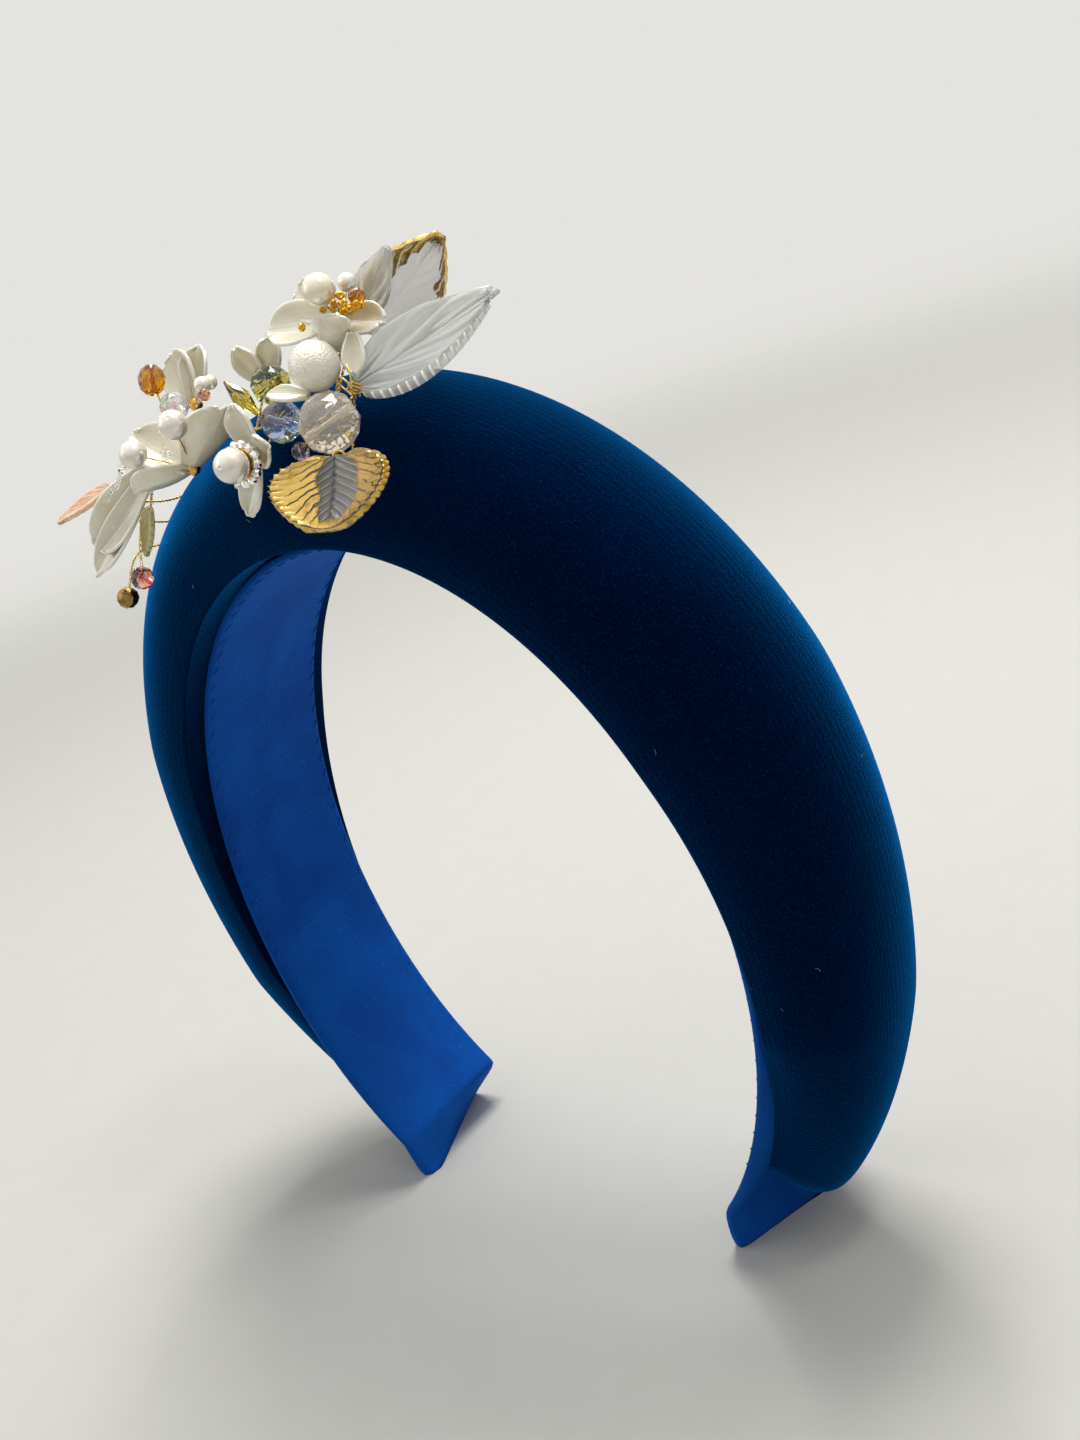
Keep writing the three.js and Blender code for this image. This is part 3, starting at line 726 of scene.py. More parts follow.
# trees that follow a path or a surface
def geometryTree(name, inputs):
    shape = "NodeSocketGeometry"
    given = [("Geometry", shape, None), *inputs, ("Material", "NodeSocketMaterial", None)]
    return groupTree(name, "GeometryNodeTree", given, [("Geometry", shape)])


def endTree(tree, geometry, given, last):
    real = out(node(tree, "GeometryNodeRealizeInstances", {"Geometry": geometry}))
    smooth = out(node(tree, "GeometryNodeSetShadeSmooth", {"Geometry": real}))
    values = {"Geometry": smooth, "Material": given["Material"]}
    feed(last, {"Geometry": out(node(tree, "GeometryNodeSetMaterial", values))})
    return tree


def ringCurve(tree, sides, radius):
    values = {"Resolution": sides, "Radius": radius}
    return out(node(tree, "GeometryNodeCurvePrimitiveCircle", values), "Curve")


def tube(tree, curve, section, caps=True):
    values = {"Curve": curve, "Profile Curve": section, "Fill Caps": caps}
    return out(node(tree, "GeometryNodeCurveToMesh", values))


def combine(tree, values):
    return out(node(tree, "ShaderNodeCombineXYZ", values))


def turnAbout(tree, rotation, angle):  # turned about its own Z
    spin = out(node(tree, "FunctionNodeAxisAngleToRotation", {"Axis": (0.0, 0.0, 1.0), "Angle": angle}))
    values = {"Rotation": rotation, "Rotate By": spin}
    return out(node(tree, "FunctionNodeRotateRotation", values, rotation_space="LOCAL"))


def randomValue(tree, kind, seed, values):
    return out(node(tree, "FunctionNodeRandomValue", {"Seed": seed, **values}, data_type=kind))


def setAtPoints(tree, points, shape, rotation, scale):
    values = {"Points": points, "Instance": shape, "Rotation": rotation, "Scale": scale}
    return out(node(tree, "GeometryNodeInstanceOnPoints", values))


def runTree(name, source, tree, values):
    modifier = source.modifiers.new(tree.name, "NODES")
    modifier.node_group = tree
    for item in tree.interface.items_tree:
        if item.item_type == "SOCKET" and item.in_out == "INPUT" and item.name in values:
            modifier[item.identifier] = values[item.name]
    bpy.context.view_layer.update()
    mesh = finalMesh(source)
    bpy.data.objects.remove(source)
    mesh.name = name
    return addObject(name, mesh)


def pathObject(name, paths):
    points, edges = [], []
    for path in paths:
        first = len(points)
        points += path
        edges += [(k, k + 1) for k in range(first, first + len(path) - 1)]
    mesh = bpy.data.meshes.new(name)
    mesh.from_pydata(points, edges, [])
    return addObject(name, mesh)


# wire: two strands twisted about the path, or one where they hardly spread
def buildWireTree():
    tree, given, last = geometryTree("wireTwist", [
        ("Strand Radius", number, 0.0002), ("Spread", number, 0.0002), ("Pitch", number, 0.0024)])
    path = out(node(tree, "GeometryNodeMeshToCurve", {"Mesh": given["Geometry"]}))
    run = out(node(tree, "GeometryNodeSplineParameter"), "Length")
    tilt = times(tree, math2(tree, "DIVIDE", run, given["Pitch"]), math.tau)
    turned = out(node(tree, "GeometryNodeSetCurveTilt", {"Curve": path, "Tilt": tilt}))
    strand = ringCurve(tree, 7, given["Strand Radius"])
    pair = node(tree, "GeometryNodeJoinGeometry")
    for spread in (given["Spread"], times(tree, given["Spread"], -1.0)):
        values = {"Geometry": strand, "Translation": combine(tree, {"X": spread})}
        tree.links.new(out(node(tree, "GeometryNodeTransform", values)), pair.inputs[0])
    return endTree(tree, tube(tree, turned, out(pair)), given, last)


# seed beads: a small ring at each point, turned at random
def buildSeedTree():
    tree, given, last = geometryTree("seedBeads", [
        ("Bead Radius", number, 0.0006), ("Vary", number, 0.2), ("Seed", "NodeSocketInt", 3)])
    ring = ringCurve(tree, 10, times(tree, given["Bead Radius"], 0.6))
    section = ringCurve(tree, 8, times(tree, given["Bead Radius"], 0.46))
    turn = randomValue(tree, "FLOAT_VECTOR", given["Seed"], {"Max": (math.tau, math.tau, math.tau)})
    size = randomValue(tree, "FLOAT", given["Seed"], {
        "Min": minus(tree, 1.0, given["Vary"]), "Max": plus(tree, 1.0, given["Vary"])})
    points = out(node(tree, "GeometryNodeMeshToPoints", {"Mesh": given["Geometry"]}))
    return endTree(tree, setAtPoints(tree, points, tube(tree, ring, section, False), turn, size), given, last)


# stitches: short rounded lengths of thread set along a path
def buildStitchTree():
    tree, given, last = geometryTree("stitchRun", [
        ("Spacing", number, 0.004), ("Length", number, 0.0022), ("Thread Radius", number, 0.00018),
        ("Lean", number, 0.5)])
    curve = out(node(tree, "GeometryNodeMeshToCurve", {"Mesh": given["Geometry"]}))
    values = {"Curve": curve, "Length": given["Spacing"]}
    path = out(node(tree, "GeometryNodeResampleCurve", values, mode="LENGTH"))
    ball = out(node(tree, "GeometryNodeMeshUVSphere", {"Segments": 8, "Rings": 6, "Radius": 0.5}), "Mesh")
    thread = times(tree, given["Thread Radius"], 2.0)
    size = combine(tree, {"X": given["Length"], "Y": thread, "Z": thread})
    values = {"Vector": out(node(tree, "GeometryNodeInputTangent"))}
    aim = out(node(tree, "FunctionNodeAlignRotationToVector", values, axis="X"))
    laid = setAtPoints(tree, path, ball, turnAbout(tree, aim, given["Lean"]), size)
    return endTree(tree, laid, given, last)


# lint: short bent fibres lying on a surface
def buildLintTree():
    tree, given, last = geometryTree("lintFibres", [
        ("Density", number, 900.0), ("Length", number, 0.0016), ("Fibre Radius", number, 0.000025),
        ("Lift", number, 0.0002), ("Seed", "NodeSocketInt", 5)])
    values = {"Mesh": given["Geometry"], "Density": given["Density"], "Seed": given["Seed"]}
    spots = node(tree, "GeometryNodeDistributePointsOnFaces", values, distribute_method="RANDOM")
    half = times(tree, given["Length"], 0.5)
    fibre = node(tree, "GeometryNodeCurveQuadraticBezier", {
        "Resolution": 5, "Start": combine(tree, {"X": times(tree, half, -1.0), "Z": given["Lift"]}),
        "Middle": combine(tree, {"Y": half, "Z": times(tree, given["Lift"], 3.0)}),
        "End": combine(tree, {"X": half, "Z": given["Lift"]})})
    shape = tube(tree, out(fibre), ringCurve(tree, 4, given["Fibre Radius"]))
    angle = randomValue(tree, "FLOAT", given["Seed"], {"Max": math.tau})
    size = randomValue(tree, "FLOAT", given["Seed"], {"Min": 0.35, "Max": 1.3})
    turn = turnAbout(tree, out(spots, "Rotation"), angle)
    return endTree(tree, setAtPoints(tree, out(spots, "Points"), shape, turn, size), given, last)


wireTree, seedTree = buildWireTree(), buildSeedTree()
stitchTree, lintTree = buildStitchTree(), buildLintTree()
print("node trees built")


# leaves and petals along u from base to tip, v from -1 to 1 across
blades = {
    "broad": {"start": 0.04, "span": 0.9, "widest": 0.68, "fullness": 0.62, "crowd": 1,
              "cup": 0.1, "thick": 1.6, "round": 0.03, "long": 72, "wide": 56},
    "keen": {"start": 0.05, "span": 0.94, "widest": 0.85, "fullness": 0.8, "crowd": 1,
             "cup": 0.1, "thick": 1.4, "round": 0.0, "long": 64, "wide": 40},
    "slim": {"start": 0.04, "span": 0.92, "widest": 0.72, "fullness": 0.9, "crowd": 1,
             "cup": 0.12, "thick": 1.1, "round": 0.03, "long": 56, "wide": 32},
    "petal": {"start": 0.06, "span": 0.925, "widest": 1.5, "fullness": 0.5, "crowd": 1.5,
              "cup": 0.26, "thick": 0.8, "round": 0.06, "long": 24, "wide": 20},
}
plainRelief = {
    "veins": 0, "slant": 0.4, "veinDepth": 0.0, "teeth": 0, "toothDepth": 0.0,
    "roll": 0.0, "ripple": 0.0, "phase": 0.0,
}
bladeForm = {  # shares of length, width or relief that every blade keeps
    "cupMiddle": 0.4, "cupRest": 0.16, "toothMiddle": 0.6, "tipWave": 0.05, "sideWave": 0.06,
    "rollFrom": 0.62, "veinLean": 1.1, "veinBow": 0.25, "veinFade": 5, "midribDepth": 1.3, "midribWide": 0.05,
}
shellShare, giltShare = 0.85, 0.8  # of a blade's thickness, before its rim is softened
gilding = {"thick": 0.05, "lift": 0.1}


def bladePoint(kind, length, width, u, v, relief):  # millimetres, along +X with the face toward +Z
    blade, form, phase = blades[kind], bladeForm, relief["phase"]
    share = 1 - (1 - u) ** blade["crowd"]
    run = blade["start"] + blade["span"] * share ** blade["widest"]
    outline = math.sin(math.pi * run) ** blade["fullness"]
    notch = abs(math.sin(math.pi * relief["teeth"] * u)) - form["toothMiddle"]
    tooth = 1 + relief["toothDepth"] * v ** 4 * notch
    flare = relief["ripple"] * form["tipWave"] * math.cos(5 * v + phase) * u ** 4
    x = length * (share - blade["round"] * v * v * u ** 3 + flare)
    z = blade["cup"] * width * (v * v * outline + (share - form["cupMiddle"]) ** 2 - form["cupRest"])
    z -= relief["roll"] * width * max(0, abs(v) - form["rollFrom"]) ** 2 * u
    z += relief["ripple"] * width * form["sideWave"] * math.sin(4 * u + 6 * v + phase) * u * abs(v)
    if relief["veins"]:
        side, fade = abs(v), form["veinFade"]
        lay = u - relief["slant"] * side * (form["veinLean"] - form["veinBow"] * side)
        ridge = (0.5 + 0.5 * math.cos(math.tau * relief["veins"] * lay)) ** 3
        z += relief["veinDepth"] * ridge * (1 - side ** 8) * min(1, side * fade) * min(1, u * fade)
        z -= relief["veinDepth"] * form["midribDepth"] * math.exp(-(v / form["midribWide"]) ** 2)
    return Vector((x, v * width / 2 * outline * tooth, z))


def bladeFrame(base, tip, face):
    axis = tip - base
    length = axis.length / mm
    axis = axis.normalized()
    across = face.cross(axis).normalized()
    return length, Matrix((axis, across, axis.cross(across))).transposed()


def bladeMesh(name, kind, base, tip, face, width, relief):
    length, turn = bladeFrame(base, tip, face)
    full = {**plainRelief, **relief}

    def pointAt(u, v):
        return base + turn @ (bladePoint(kind, length, width, u, 2 * v - 1, full) * mm)

    return gridMesh(name, blades[kind]["long"], blades[kind]["wide"], pointAt)


def leafFrame(leaf):
    return place(leaf["base"]), place(leaf["tip"]), direction(leaf["base"][0], leaf["face"])


def leafMesh(name, leaf):
    return bladeMesh(name, leaf["kind"], *leafFrame(leaf), leaf["width"], leaf["relief"])


def filmOver(name, leaf, material, lift):  # a painted skin on the face of a leaf
    mesh = leafMesh(name, leaf)
    normals = np.array([v.normal for v in mesh.vertices])
    face = np.array(direction(leaf["base"][0], leaf["face"]))
    normals *= np.sign(normals @ face)[:, None]
    spots = np.array([v.co for v in mesh.vertices]) + normals * lift * mm
    mesh.vertices.foreach_set("co", spots.ravel())
    return thicken(addPiece(name, mesh, material), gilding["thick"], 0)


# brightSide picks which lobe of a gilt leaf stays bright; the other lobe is partly duller wear and partly
# painted shade
goldLeaves = {
    "goldLeafFront": {
        "node": "gold_leaf_front", "kind": "broad", "body": "veinedGlass", "width": 23.4,
        "base": [19.7, 27.5, -3.8], "tip": [23.2, 34.6, -13], "face": [-0.05, 0.7, 0.6],
        "relief": {"veins": 8, "slant": 0.45, "veinDepth": 0.07, "teeth": 13, "toothDepth": 0.07},
        "bright": "dcb862", "dull": "96722e", "streaks": 8, "slant": 0.45, "streakReach": 0.6, "ragged": 0.5,
        "goldLeft": 0.24, "goldRight": 0.4, "rimFrom": 0.88, "brightSide": -1,
    },
    "goldLeafBack": {
        "node": "gold_leaf_back", "kind": "keen", "body": "frost", "width": 14,
        "base": [9, -1, 6.5], "tip": [18, -5, 23.5], "face": [0.6, 1, -0.2],
        "relief": {"veins": 7, "slant": 0.5, "veinDepth": 0.2, "teeth": 13, "toothDepth": 0.04},
        "bright": "f2d070", "dull": "9a7640", "streaks": 7, "slant": 0.6, "streakReach": 0.45, "ragged": 0.7,
        "goldLeft": 0.78, "goldRight": 0.42, "rimFrom": 0.95, "brightSide": 1,
    },
}
for name, leaf in goldLeaves.items():
    thick, film = blades[leaf["kind"]]["thick"] * giltShare, name + "Gilding"
    body = thicken(addPiece(name, leafMesh(name, leaf), looks[leaf["body"]]), thick, rim=looks["giltRim"])
    settle(body, "gilt_leaf", leaf["node"])
    skin = filmOver(film, leaf, goldFilmMaterial(film, leaf), thick / 2 + gilding["lift"])
    settle(skin, "gilt_leaf")

milkyLeaf = {
    "base": [16, 16, 3.6], "tip": [28, 3, 19.5], "face": [0.2, 0.9, 0.5], "width": 10.5, "kind": "slim",
    "relief": {"veins": 3, "slant": 0.75, "veinDepth": 0.32, "ripple": 0.6, "phase": 1.0}, "thick": 1.0,
    "stripFrom": 0.03, "stripRun": 0.95, "stripWide": 1.05, "stripThick": 0.5, "stripIn": 0.6,
    "stripEnd": 0.4, "stripSteps": 170, "stripSides": 12,
}


def buildMilkyLeaf():
    leaf = milkyLeaf
    body = thicken(addPiece("milkyLeaf", leafMesh("milkyLeaf", leaf), looks["milky"]), leaf["thick"])
    settle(body, "clear_leaf", "pearl_leaf_large")
    base, tip, face = leafFrame(leaf)
    length, turn = bladeFrame(base, tip, face)
    relief = {**plainRelief, **leaf["relief"]}

    def stripPoint(u, v):  # flat clear strip along the lower edge
        run = leaf["stripFrom"] + leaf["stripRun"] * u
        centre = bladePoint(leaf["kind"], length, leaf["width"], run, -1, relief)
        rounded = math.sin(math.pi * min(1, 0.12 + 0.85 * u))
        full = leaf["stripEnd"] + (1 - leaf["stripEnd"]) * rounded
        spin = math.tau * v
        across = full * (leaf["stripWide"] * math.cos(spin) - leaf["stripIn"])
        return base + turn @ ((centre + Vector((0, across, leaf["stripThick"] * math.sin(spin)))) * mm)

    mesh = gridMesh("milkyLeafRim", leaf["stripSteps"], leaf["stripSides"], stripPoint, True)
    settle(addPiece("milkyLeafRim", mesh, looks["ticks"]), "clear_leaf")


buildMilkyLeaf()

plainLeaves = {
    "clearLeafSmall": {
        "node": "clear_leaf_small", "slot": "clear_leaf", "look": "misty", "kind": "slim", "width": 7,
        "base": [11.5, 5, 11.5], "tip": [15, 2, 22.5], "face": [0.2, 1, 0],
        "relief": {"veins": 2, "slant": 0.8, "veinDepth": 0.3}},
    "ovalPetal": {
        "node": "oval_petal", "slot": "petal", "look": "petal", "kind": "petal", "width": 4.4,
        "base": [12, 21, 2.4], "tip": [7.5, 24, 3.2], "face": [0.2, 0.3, 1],
        "relief": {"roll": 0.3, "ripple": 0.4, "phase": 0.4}},
    "whitePetal": {
        "node": "white_petal", "slot": "petal", "look": "petal", "kind": "petal", "width": 4,
        "base": [15.4, 14, 11.6], "tip": [16.8, 17, 5.6], "face": [0.5, 0.8, 0.3],
        "relief": {"roll": 0.3, "ripple": 0.4, "phase": 2.2}},
    "blushLeaf": {
        "node": "pink_leaf", "slot": "tinted_leaf", "look": "blush", "kind": "slim", "width": 4.6,
        "base": [-32.5, 19, 7.6], "tip": [-41, 25, 12.3], "face": [0.4, 0.6, 0.7],
        "relief": {"veins": 6, "slant": 0.5, "veinDepth": 0.2}},
    "oliveLeaf": {
        "node": "olive_leaf", "slot": "tinted_leaf", "look": "oliveLeaf", "kind": "slim", "width": 4.4,
        "base": [-22.4, 25.4, -5], "tip": [-30.5, 25.2, -9.5], "face": [0, 1, 0.3],
        "relief": {"veins": 6, "slant": 0.5, "veinDepth": 0.2, "teeth": 9, "toothDepth": 0.1}},
}
for name, leaf in plainLeaves.items():
    body = addPiece(name, leafMesh(name, leaf), looks[leaf["look"]])
    settle(thicken(body, blades[leaf["kind"]]["thick"] * shellShare), leaf["slot"], leaf["node"])
print("leaves built")


# flowers: cupped petals on a wired hub
petalRelief = {"roll": 0.5, "ripple": 0.5}
flowers = {
    "flowerUpper": {
        "node": "flower_upper", "hub": [12, 11, 12.6], "face": [-0.35, 0.7, 0.6], "widths": [9, 9.4, 6, 8],
        "tips": [[4, 15, 11.6], [12.2, 16, 14.2], [17.5, 9.5, 12.6], [5.5, 8, 17]],
        "faces": {1: [0, -1, 0.2]}, "bases": {1: [12.7, 14.2, 8]}},
    "flowerSmall": {
        "node": "flower_small", "hub": [4, 25.5, -6.3], "face": [0, 1, 0.1], "widths": [6.5, 6, 5.5, 5],
        "tips": [[3.2, 26, 3], [8.6, 27.5, -4], [0.5, 27.6, -16], [-2, 25.5, -11.5]]},
    "flowerLarge": {
        "node": "flower_large", "hub": [-11.8, 23, -4.7], "face": [0.66, 0.53, 0.36], "widths": [10, 9, 9],
        "tips": [[-0.6, 23.6, 2], [-20.8, 28, -2.4], [-19.2, 23, 7]],
        "faces": {0: [-0.72, -0.33, 0.57], 1: [0.3, -0.5, 0.8]}},
    "flowerBack": {
        "node": "flower_back", "hub": [-11.5, 16, 5.5], "face": [0.1, 0.9, 0.35], "widths": [9, 8],
        "tips": [[-13, 13, 15.8], [-9, 12, 14.1]]},
    "flowerSide": {
        "node": "flower_side", "hub": [-20.7, 21.5, 0.6], "face": [0.35, 0.9, 0.3], "widths": [10.5, 7, 7],
        "tips": [[-37, 26.5, 0], [-39.5, 28.3, -3.2], [-29.5, 16.5, 9.5]], "faces": {2: [-0.2, 0.9, 0.45]}},
    "petalPair": {
        "node": "petal_pair", "hub": [-3, 10, 3.4], "face": [0.2, 1, 0], "widths": [5.5, 5.5],
        "tips": [[-4, 12, 11], [0.5, 9, 10.4]]},
}
hub = {  # domed metal cap
    "radius": 1.3, "sides": 16,
    "rows": [(0.12, 1.0), (0.45, 0.92), (0.8, 0.6), (1.0, 0.1), (0.9, -0.4), (0.5, -0.85), (0.12, -1.0)],
}


def hubMesh(name, at, axis):
    size = hub["radius"]
    rows = [(reach * size * mm, rise * size * mm, 0.0) for reach, rise in hub["rows"]]
    return latheMesh(name, rows, hub["sides"], axis, at)


for name, flower in flowers.items():
    ways, bases, parts = flower.get("faces", {}), flower.get("bases", {}), []
    for k, (tip, width) in enumerate(zip(flower["tips"], flower["widths"])):
        relief = {**petalRelief, "phase": 1.7 * k + len(name)}
        toward = direction(flower["hub"][0], ways.get(k, flower["face"]))
        start = place(bases.get(k, flower["hub"]))
        mesh = bladeMesh(f"{name}{k}", "petal", start, place(tip), toward, width, relief)
        petal = addPiece(f"{name}{k}", mesh, looks["petal"])
        parts.append(thicken(petal, blades["petal"]["thick"] * shellShare))
    cap = hubMesh(name + "Hub", place(flower["hub"]), toward)
    parts.append(addPiece(name + "Hub", cap, looks["setting"]))
    settle(joinPieces(parts, name), "petal", flower["node"])
print("flowers built:", len(flowers))


# pearls, each with a fine hole drilled through
pearls = {
    "cottonPearl": {"node": "cotton_pearl", "look": "cotton", "radius": 4.25,
                    "at": [13, 20, 7.4], "axis": [0.6, -0.5, -0.6]},
    "upperPearl": {"node": "upper_pearl", "look": "cream", "radius": 2.8,
                   "at": [11.6, 13.6, 18], "axis": [-0.1, 0.4, 0.9]},
    "upperBead": {"node": "upper_bead", "look": "white", "radius": 1.6,
                  "at": [12.2, 8, 17.9], "axis": [0.1, -0.4, 0.9]},
    "smallFlowerPearl": {"node": "small_flower_pearl", "look": "white", "radius": 3,
                         "at": [5.2, 32.8, -5.7], "axis": [0.16, 0.96, 0.2]},
    "largeFlowerPearl": {"node": "large_flower_pearl", "look": "white", "radius": 2.6,
                         "at": [-4.8, 30.3, 2.8], "axis": [0.6, 0.6, 0.5]},
    "sideFlowerPearl": {"node": "side_flower_pearl", "look": "white", "radius": 2.5,
                        "at": [-15, 29.6, 2.4], "axis": [-0.3, 0.6, 0.7]},
}
pearlHole = 0.06


def pearlMesh(name, radius, axis, at, rings=22, sides=36):
    start = math.asin(pearlHole / radius)
    turns = [start + (math.pi - 2 * start) * k / rings for k in range(rings + 1)]
    rows = [(radius * mm * math.sin(t), -radius * mm * math.cos(t), 0.0) for t in turns]
    return latheMesh(name, rows, sides, axis, at)


for name, pearl in pearls.items():
    mesh = pearlMesh(name, pearl["radius"], direction(pearl["at"][0], pearl["axis"]), place(pearl["at"]))
    settle(addPiece(name, mesh, looks[pearl["look"]]), "pearl", pearl["node"])
print("pearls built:", len(pearls))


# cut beads: rows of reach and rise as shares, and how far each ring is turned, about a drilled channel
cuts = {
    "barrel": [(0.1, -0.98, 0), (0.42, -0.98, 0), (0.8, -0.64, 0.5), (1.0, -0.2, 0),
               (1.0, 0.2, 0), (0.8, 0.64, 0.5), (0.42, 0.98, 0), (0.1, 0.98, 0)],
    "round": [(0.12, -1, 0), (0.42, -0.94, 0), (0.78, -0.62, 0.5), (0.98, -0.2, 0),
              (0.98, 0.2, 0.5), (0.78, 0.62, 0), (0.42, 0.94, 0.5), (0.12, 1, 0.5)],
    "drop": [(0.1, -1, 0), (0.3, -0.96, 0), (0.85, -0.3, 0.5), (1.0, 0.0, 0),
             (0.75, 0.4, 0.5), (0.12, 1.0, 0), (0.08, 1.0, 0)],
}
stones = {
    "clearCrystal": {
        "node": "clear_crystal", "slot": "crystal", "look": "crystal", "cut": "barrel", "facets": 12,
        "at": [15.8, 23, -0.7], "axis": [0.53, -0.72, 0.45], "radius": 5.1, "half": 4.9},
    "blueCrystal": {
        "node": "blue_crystal", "slot": "crystal", "look": "blue", "cut": "round", "facets": 10,
        "at": [7.2, 22, -1.7], "axis": [-0.3, 0.8, 0.5], "radius": 3.7, "half": 3.5},
    "oliveCrystal": {
        "node": "olive_crystal", "slot": "olive", "look": "olive", "cut": "round", "facets": 8,
        "at": [2.5, 16, 3.4], "axis": [0.8, 0.5, 0.2], "radius": 3.6, "half": 4},
    "oliveDrop": {
        "node": "olive_drop", "slot": "olive", "look": "oliveDrop", "cut": "drop", "facets": 6,
        "at": [0.9, 21.2, 2.9], "axis": [-0.53, 0.15, 0.83], "radius": 1.7, "half": 4},
    "amberBead": {
        "node": "amber_bead", "slot": "amber", "look": "amber", "cut": "round", "facets": 10,
        "at": [-12, 21.6, 12.3], "axis": [0.2, -0.4, 0.9], "radius": 2.5, "half": 2.75},
    "upperAmberBead": {
        "node": "upper_amber_bead", "slot": "amber", "look": "amber", "cut": "round", "facets": 8,
        "at": [15.2, 11.5, 16.7], "axis": [0.5, 0.3, 0.8], "radius": 1.5, "half": 1.45},
    "opalBead": {
        "node": "large_flower_crystal", "slot": "crystal", "look": "opal", "cut": "round", "facets": 12,
        "at": [-9.2, 23.3, 6], "axis": [-0.3, 0.6, 0.7], "radius": 2.6, "half": 2.5},
    "purpleBead": {
        "node": "purple_bead", "slot": "tinted_bead", "look": "purple", "cut": "round", "facets": 8,
        "at": [10.8, 24, -6], "axis": [0.2, 0.3, 0.9], "radius": 1.6, "half": 1.6},
    "pinkBead": {
        "node": "pink_bead", "slot": "tinted_bead", "look": "pink", "cut": "round", "facets": 8,
        "at": [-35.2, 25.2, -10.6], "axis": [0.1, 0.5, 0.8], "radius": 2.3, "half": 2.2},
    "bronzeBead": {
        "node": "bronze_bead", "slot": "tinted_bead", "look": "bronze", "cut": "round", "facets": 8,
        "at": [-41.8, 25, -8.7], "axis": [0.9, 0.3, 0.2], "radius": 2.2, "half": 2.1},
}
for name, stone in stones.items():
    wide, high = stone["radius"], stone["half"]
    rows = [(reach * wide * mm, rise * high * mm, turn) for reach, rise, turn in cuts[stone["cut"]]]
    axis = direction(stone["at"][0], stone["axis"])
    mesh = latheMesh(name, rows, stone["facets"], axis, place(stone["at"]))
    settle(addPiece(name, mesh, looks[stone["look"]], False), stone["slot"], stone["node"])
print("cut stones built:", len(stones))


# rondelle: a gilt ring with small stones round it
rondelle = {
    "at": [4.5, 29.6, -6.4], "axis": [0.16, 0.96, 0.2], "inner": 1.6, "outer": 3.3, "rounded": 0.25,
    "thick": 0.7, "sides": 36, "stones": 13, "stoneRadius": 0.85, "stoneLift": 0.35, "facets": 8,
    "stoneCut": [(0.02, 0.75, 0), (0.5, 0.7, 0), (1.0, 0.1, 0.5), (0.6, -0.5, 0), (0.02, -0.9, 0)],
    "outLean": 0.6, "upLean": 0.8,
}


def buildRondelle():
    centre, axis = place(rondelle["at"]), direction(rondelle["at"][0], rondelle["axis"])
    inner, outer = rondelle["inner"], rondelle["outer"]
    rows = [(inner, -0.7), (outer, -1), (outer + rondelle["rounded"], 0), (outer, 1), (inner, 0.7)]
    section = [(reach * mm, rise * rondelle["thick"] * mm, 0.0) for reach, rise in rows]
    mesh = latheMesh("rondelle", section, rondelle["sides"], axis, centre)
    pieces = [addPiece("rondelle", mesh, looks["setting"])]
    turn = Vector((0, 0, 1)).rotation_difference(axis).to_matrix()
    size = rondelle["stoneRadius"] * mm
    cut = [(reach * size, rise * size, shift) for reach, rise, shift in rondelle["stoneCut"]]
    for k in range(rondelle["stones"]):
        angle = k / rondelle["stones"] * math.tau
        away = turn @ Vector((math.cos(angle), math.sin(angle), 0))
        spot = centre + away * outer * mm + axis * rondelle["stoneLift"] * mm
        lean = (away * rondelle["outLean"] + axis * rondelle["upLean"]).normalized()
        mesh = latheMesh(f"ringStone{k}", cut, rondelle["facets"], lean, spot)
        pieces.append(addPiece(f"ringStone{k}", mesh, looks["whiteStone"], False))
    settle(joinPieces(pieces, "rondelle"), "stone_ring", "rondelle")


buildRondelle()

# three small beads on one wire beside the large flower
sprig = {
    "stem": [flowers["flowerBack"]["hub"], [-6.5, 18.6, 6.2]], "strand": 0.12, "pitch": 1.5,
    "spots": [[-3.4, 21, 7], [-2.4, 24, 7], [-0.8, 26.4, 5.4]], "radii": [1.3, 1.5, 1.1],
    "looks": ["cream", "white", "pink"], "rings": 14, "sides": 20,
}


def wireAlong(name, paths, strand, spread, pitch):  # sizes in mm
    return runTree(name, pathObject(name + "Routes", paths), wireTree, {
        "Strand Radius": strand * mm, "Spread": spread * mm, "Pitch": pitch * mm, "Material": looks["wire"]})


def buildSprig():
    spots, pieces = [place(s) for s in sprig["spots"]], []
    axis = (spots[1] - spots[0]).normalized()
    for k, (spot, radius, look) in enumerate(zip(spots, sprig["radii"], sprig["looks"])):
        mesh = pearlMesh(f"sprig{k}", radius, axis, spot, sprig["rings"], sprig["sides"])
        pieces.append(addPiece(f"sprig{k}", mesh, looks[look]))
    path = smoothPath([*[place(s) for s in sprig["stem"]], *spots])
    pieces.append(wireAlong("sprigWire", [path], sprig["strand"], sprig["strand"], sprig["pitch"]))
    settle(joinPieces(pieces, "beadSprig"), "pearl", "bead_sprig")


buildSprig()


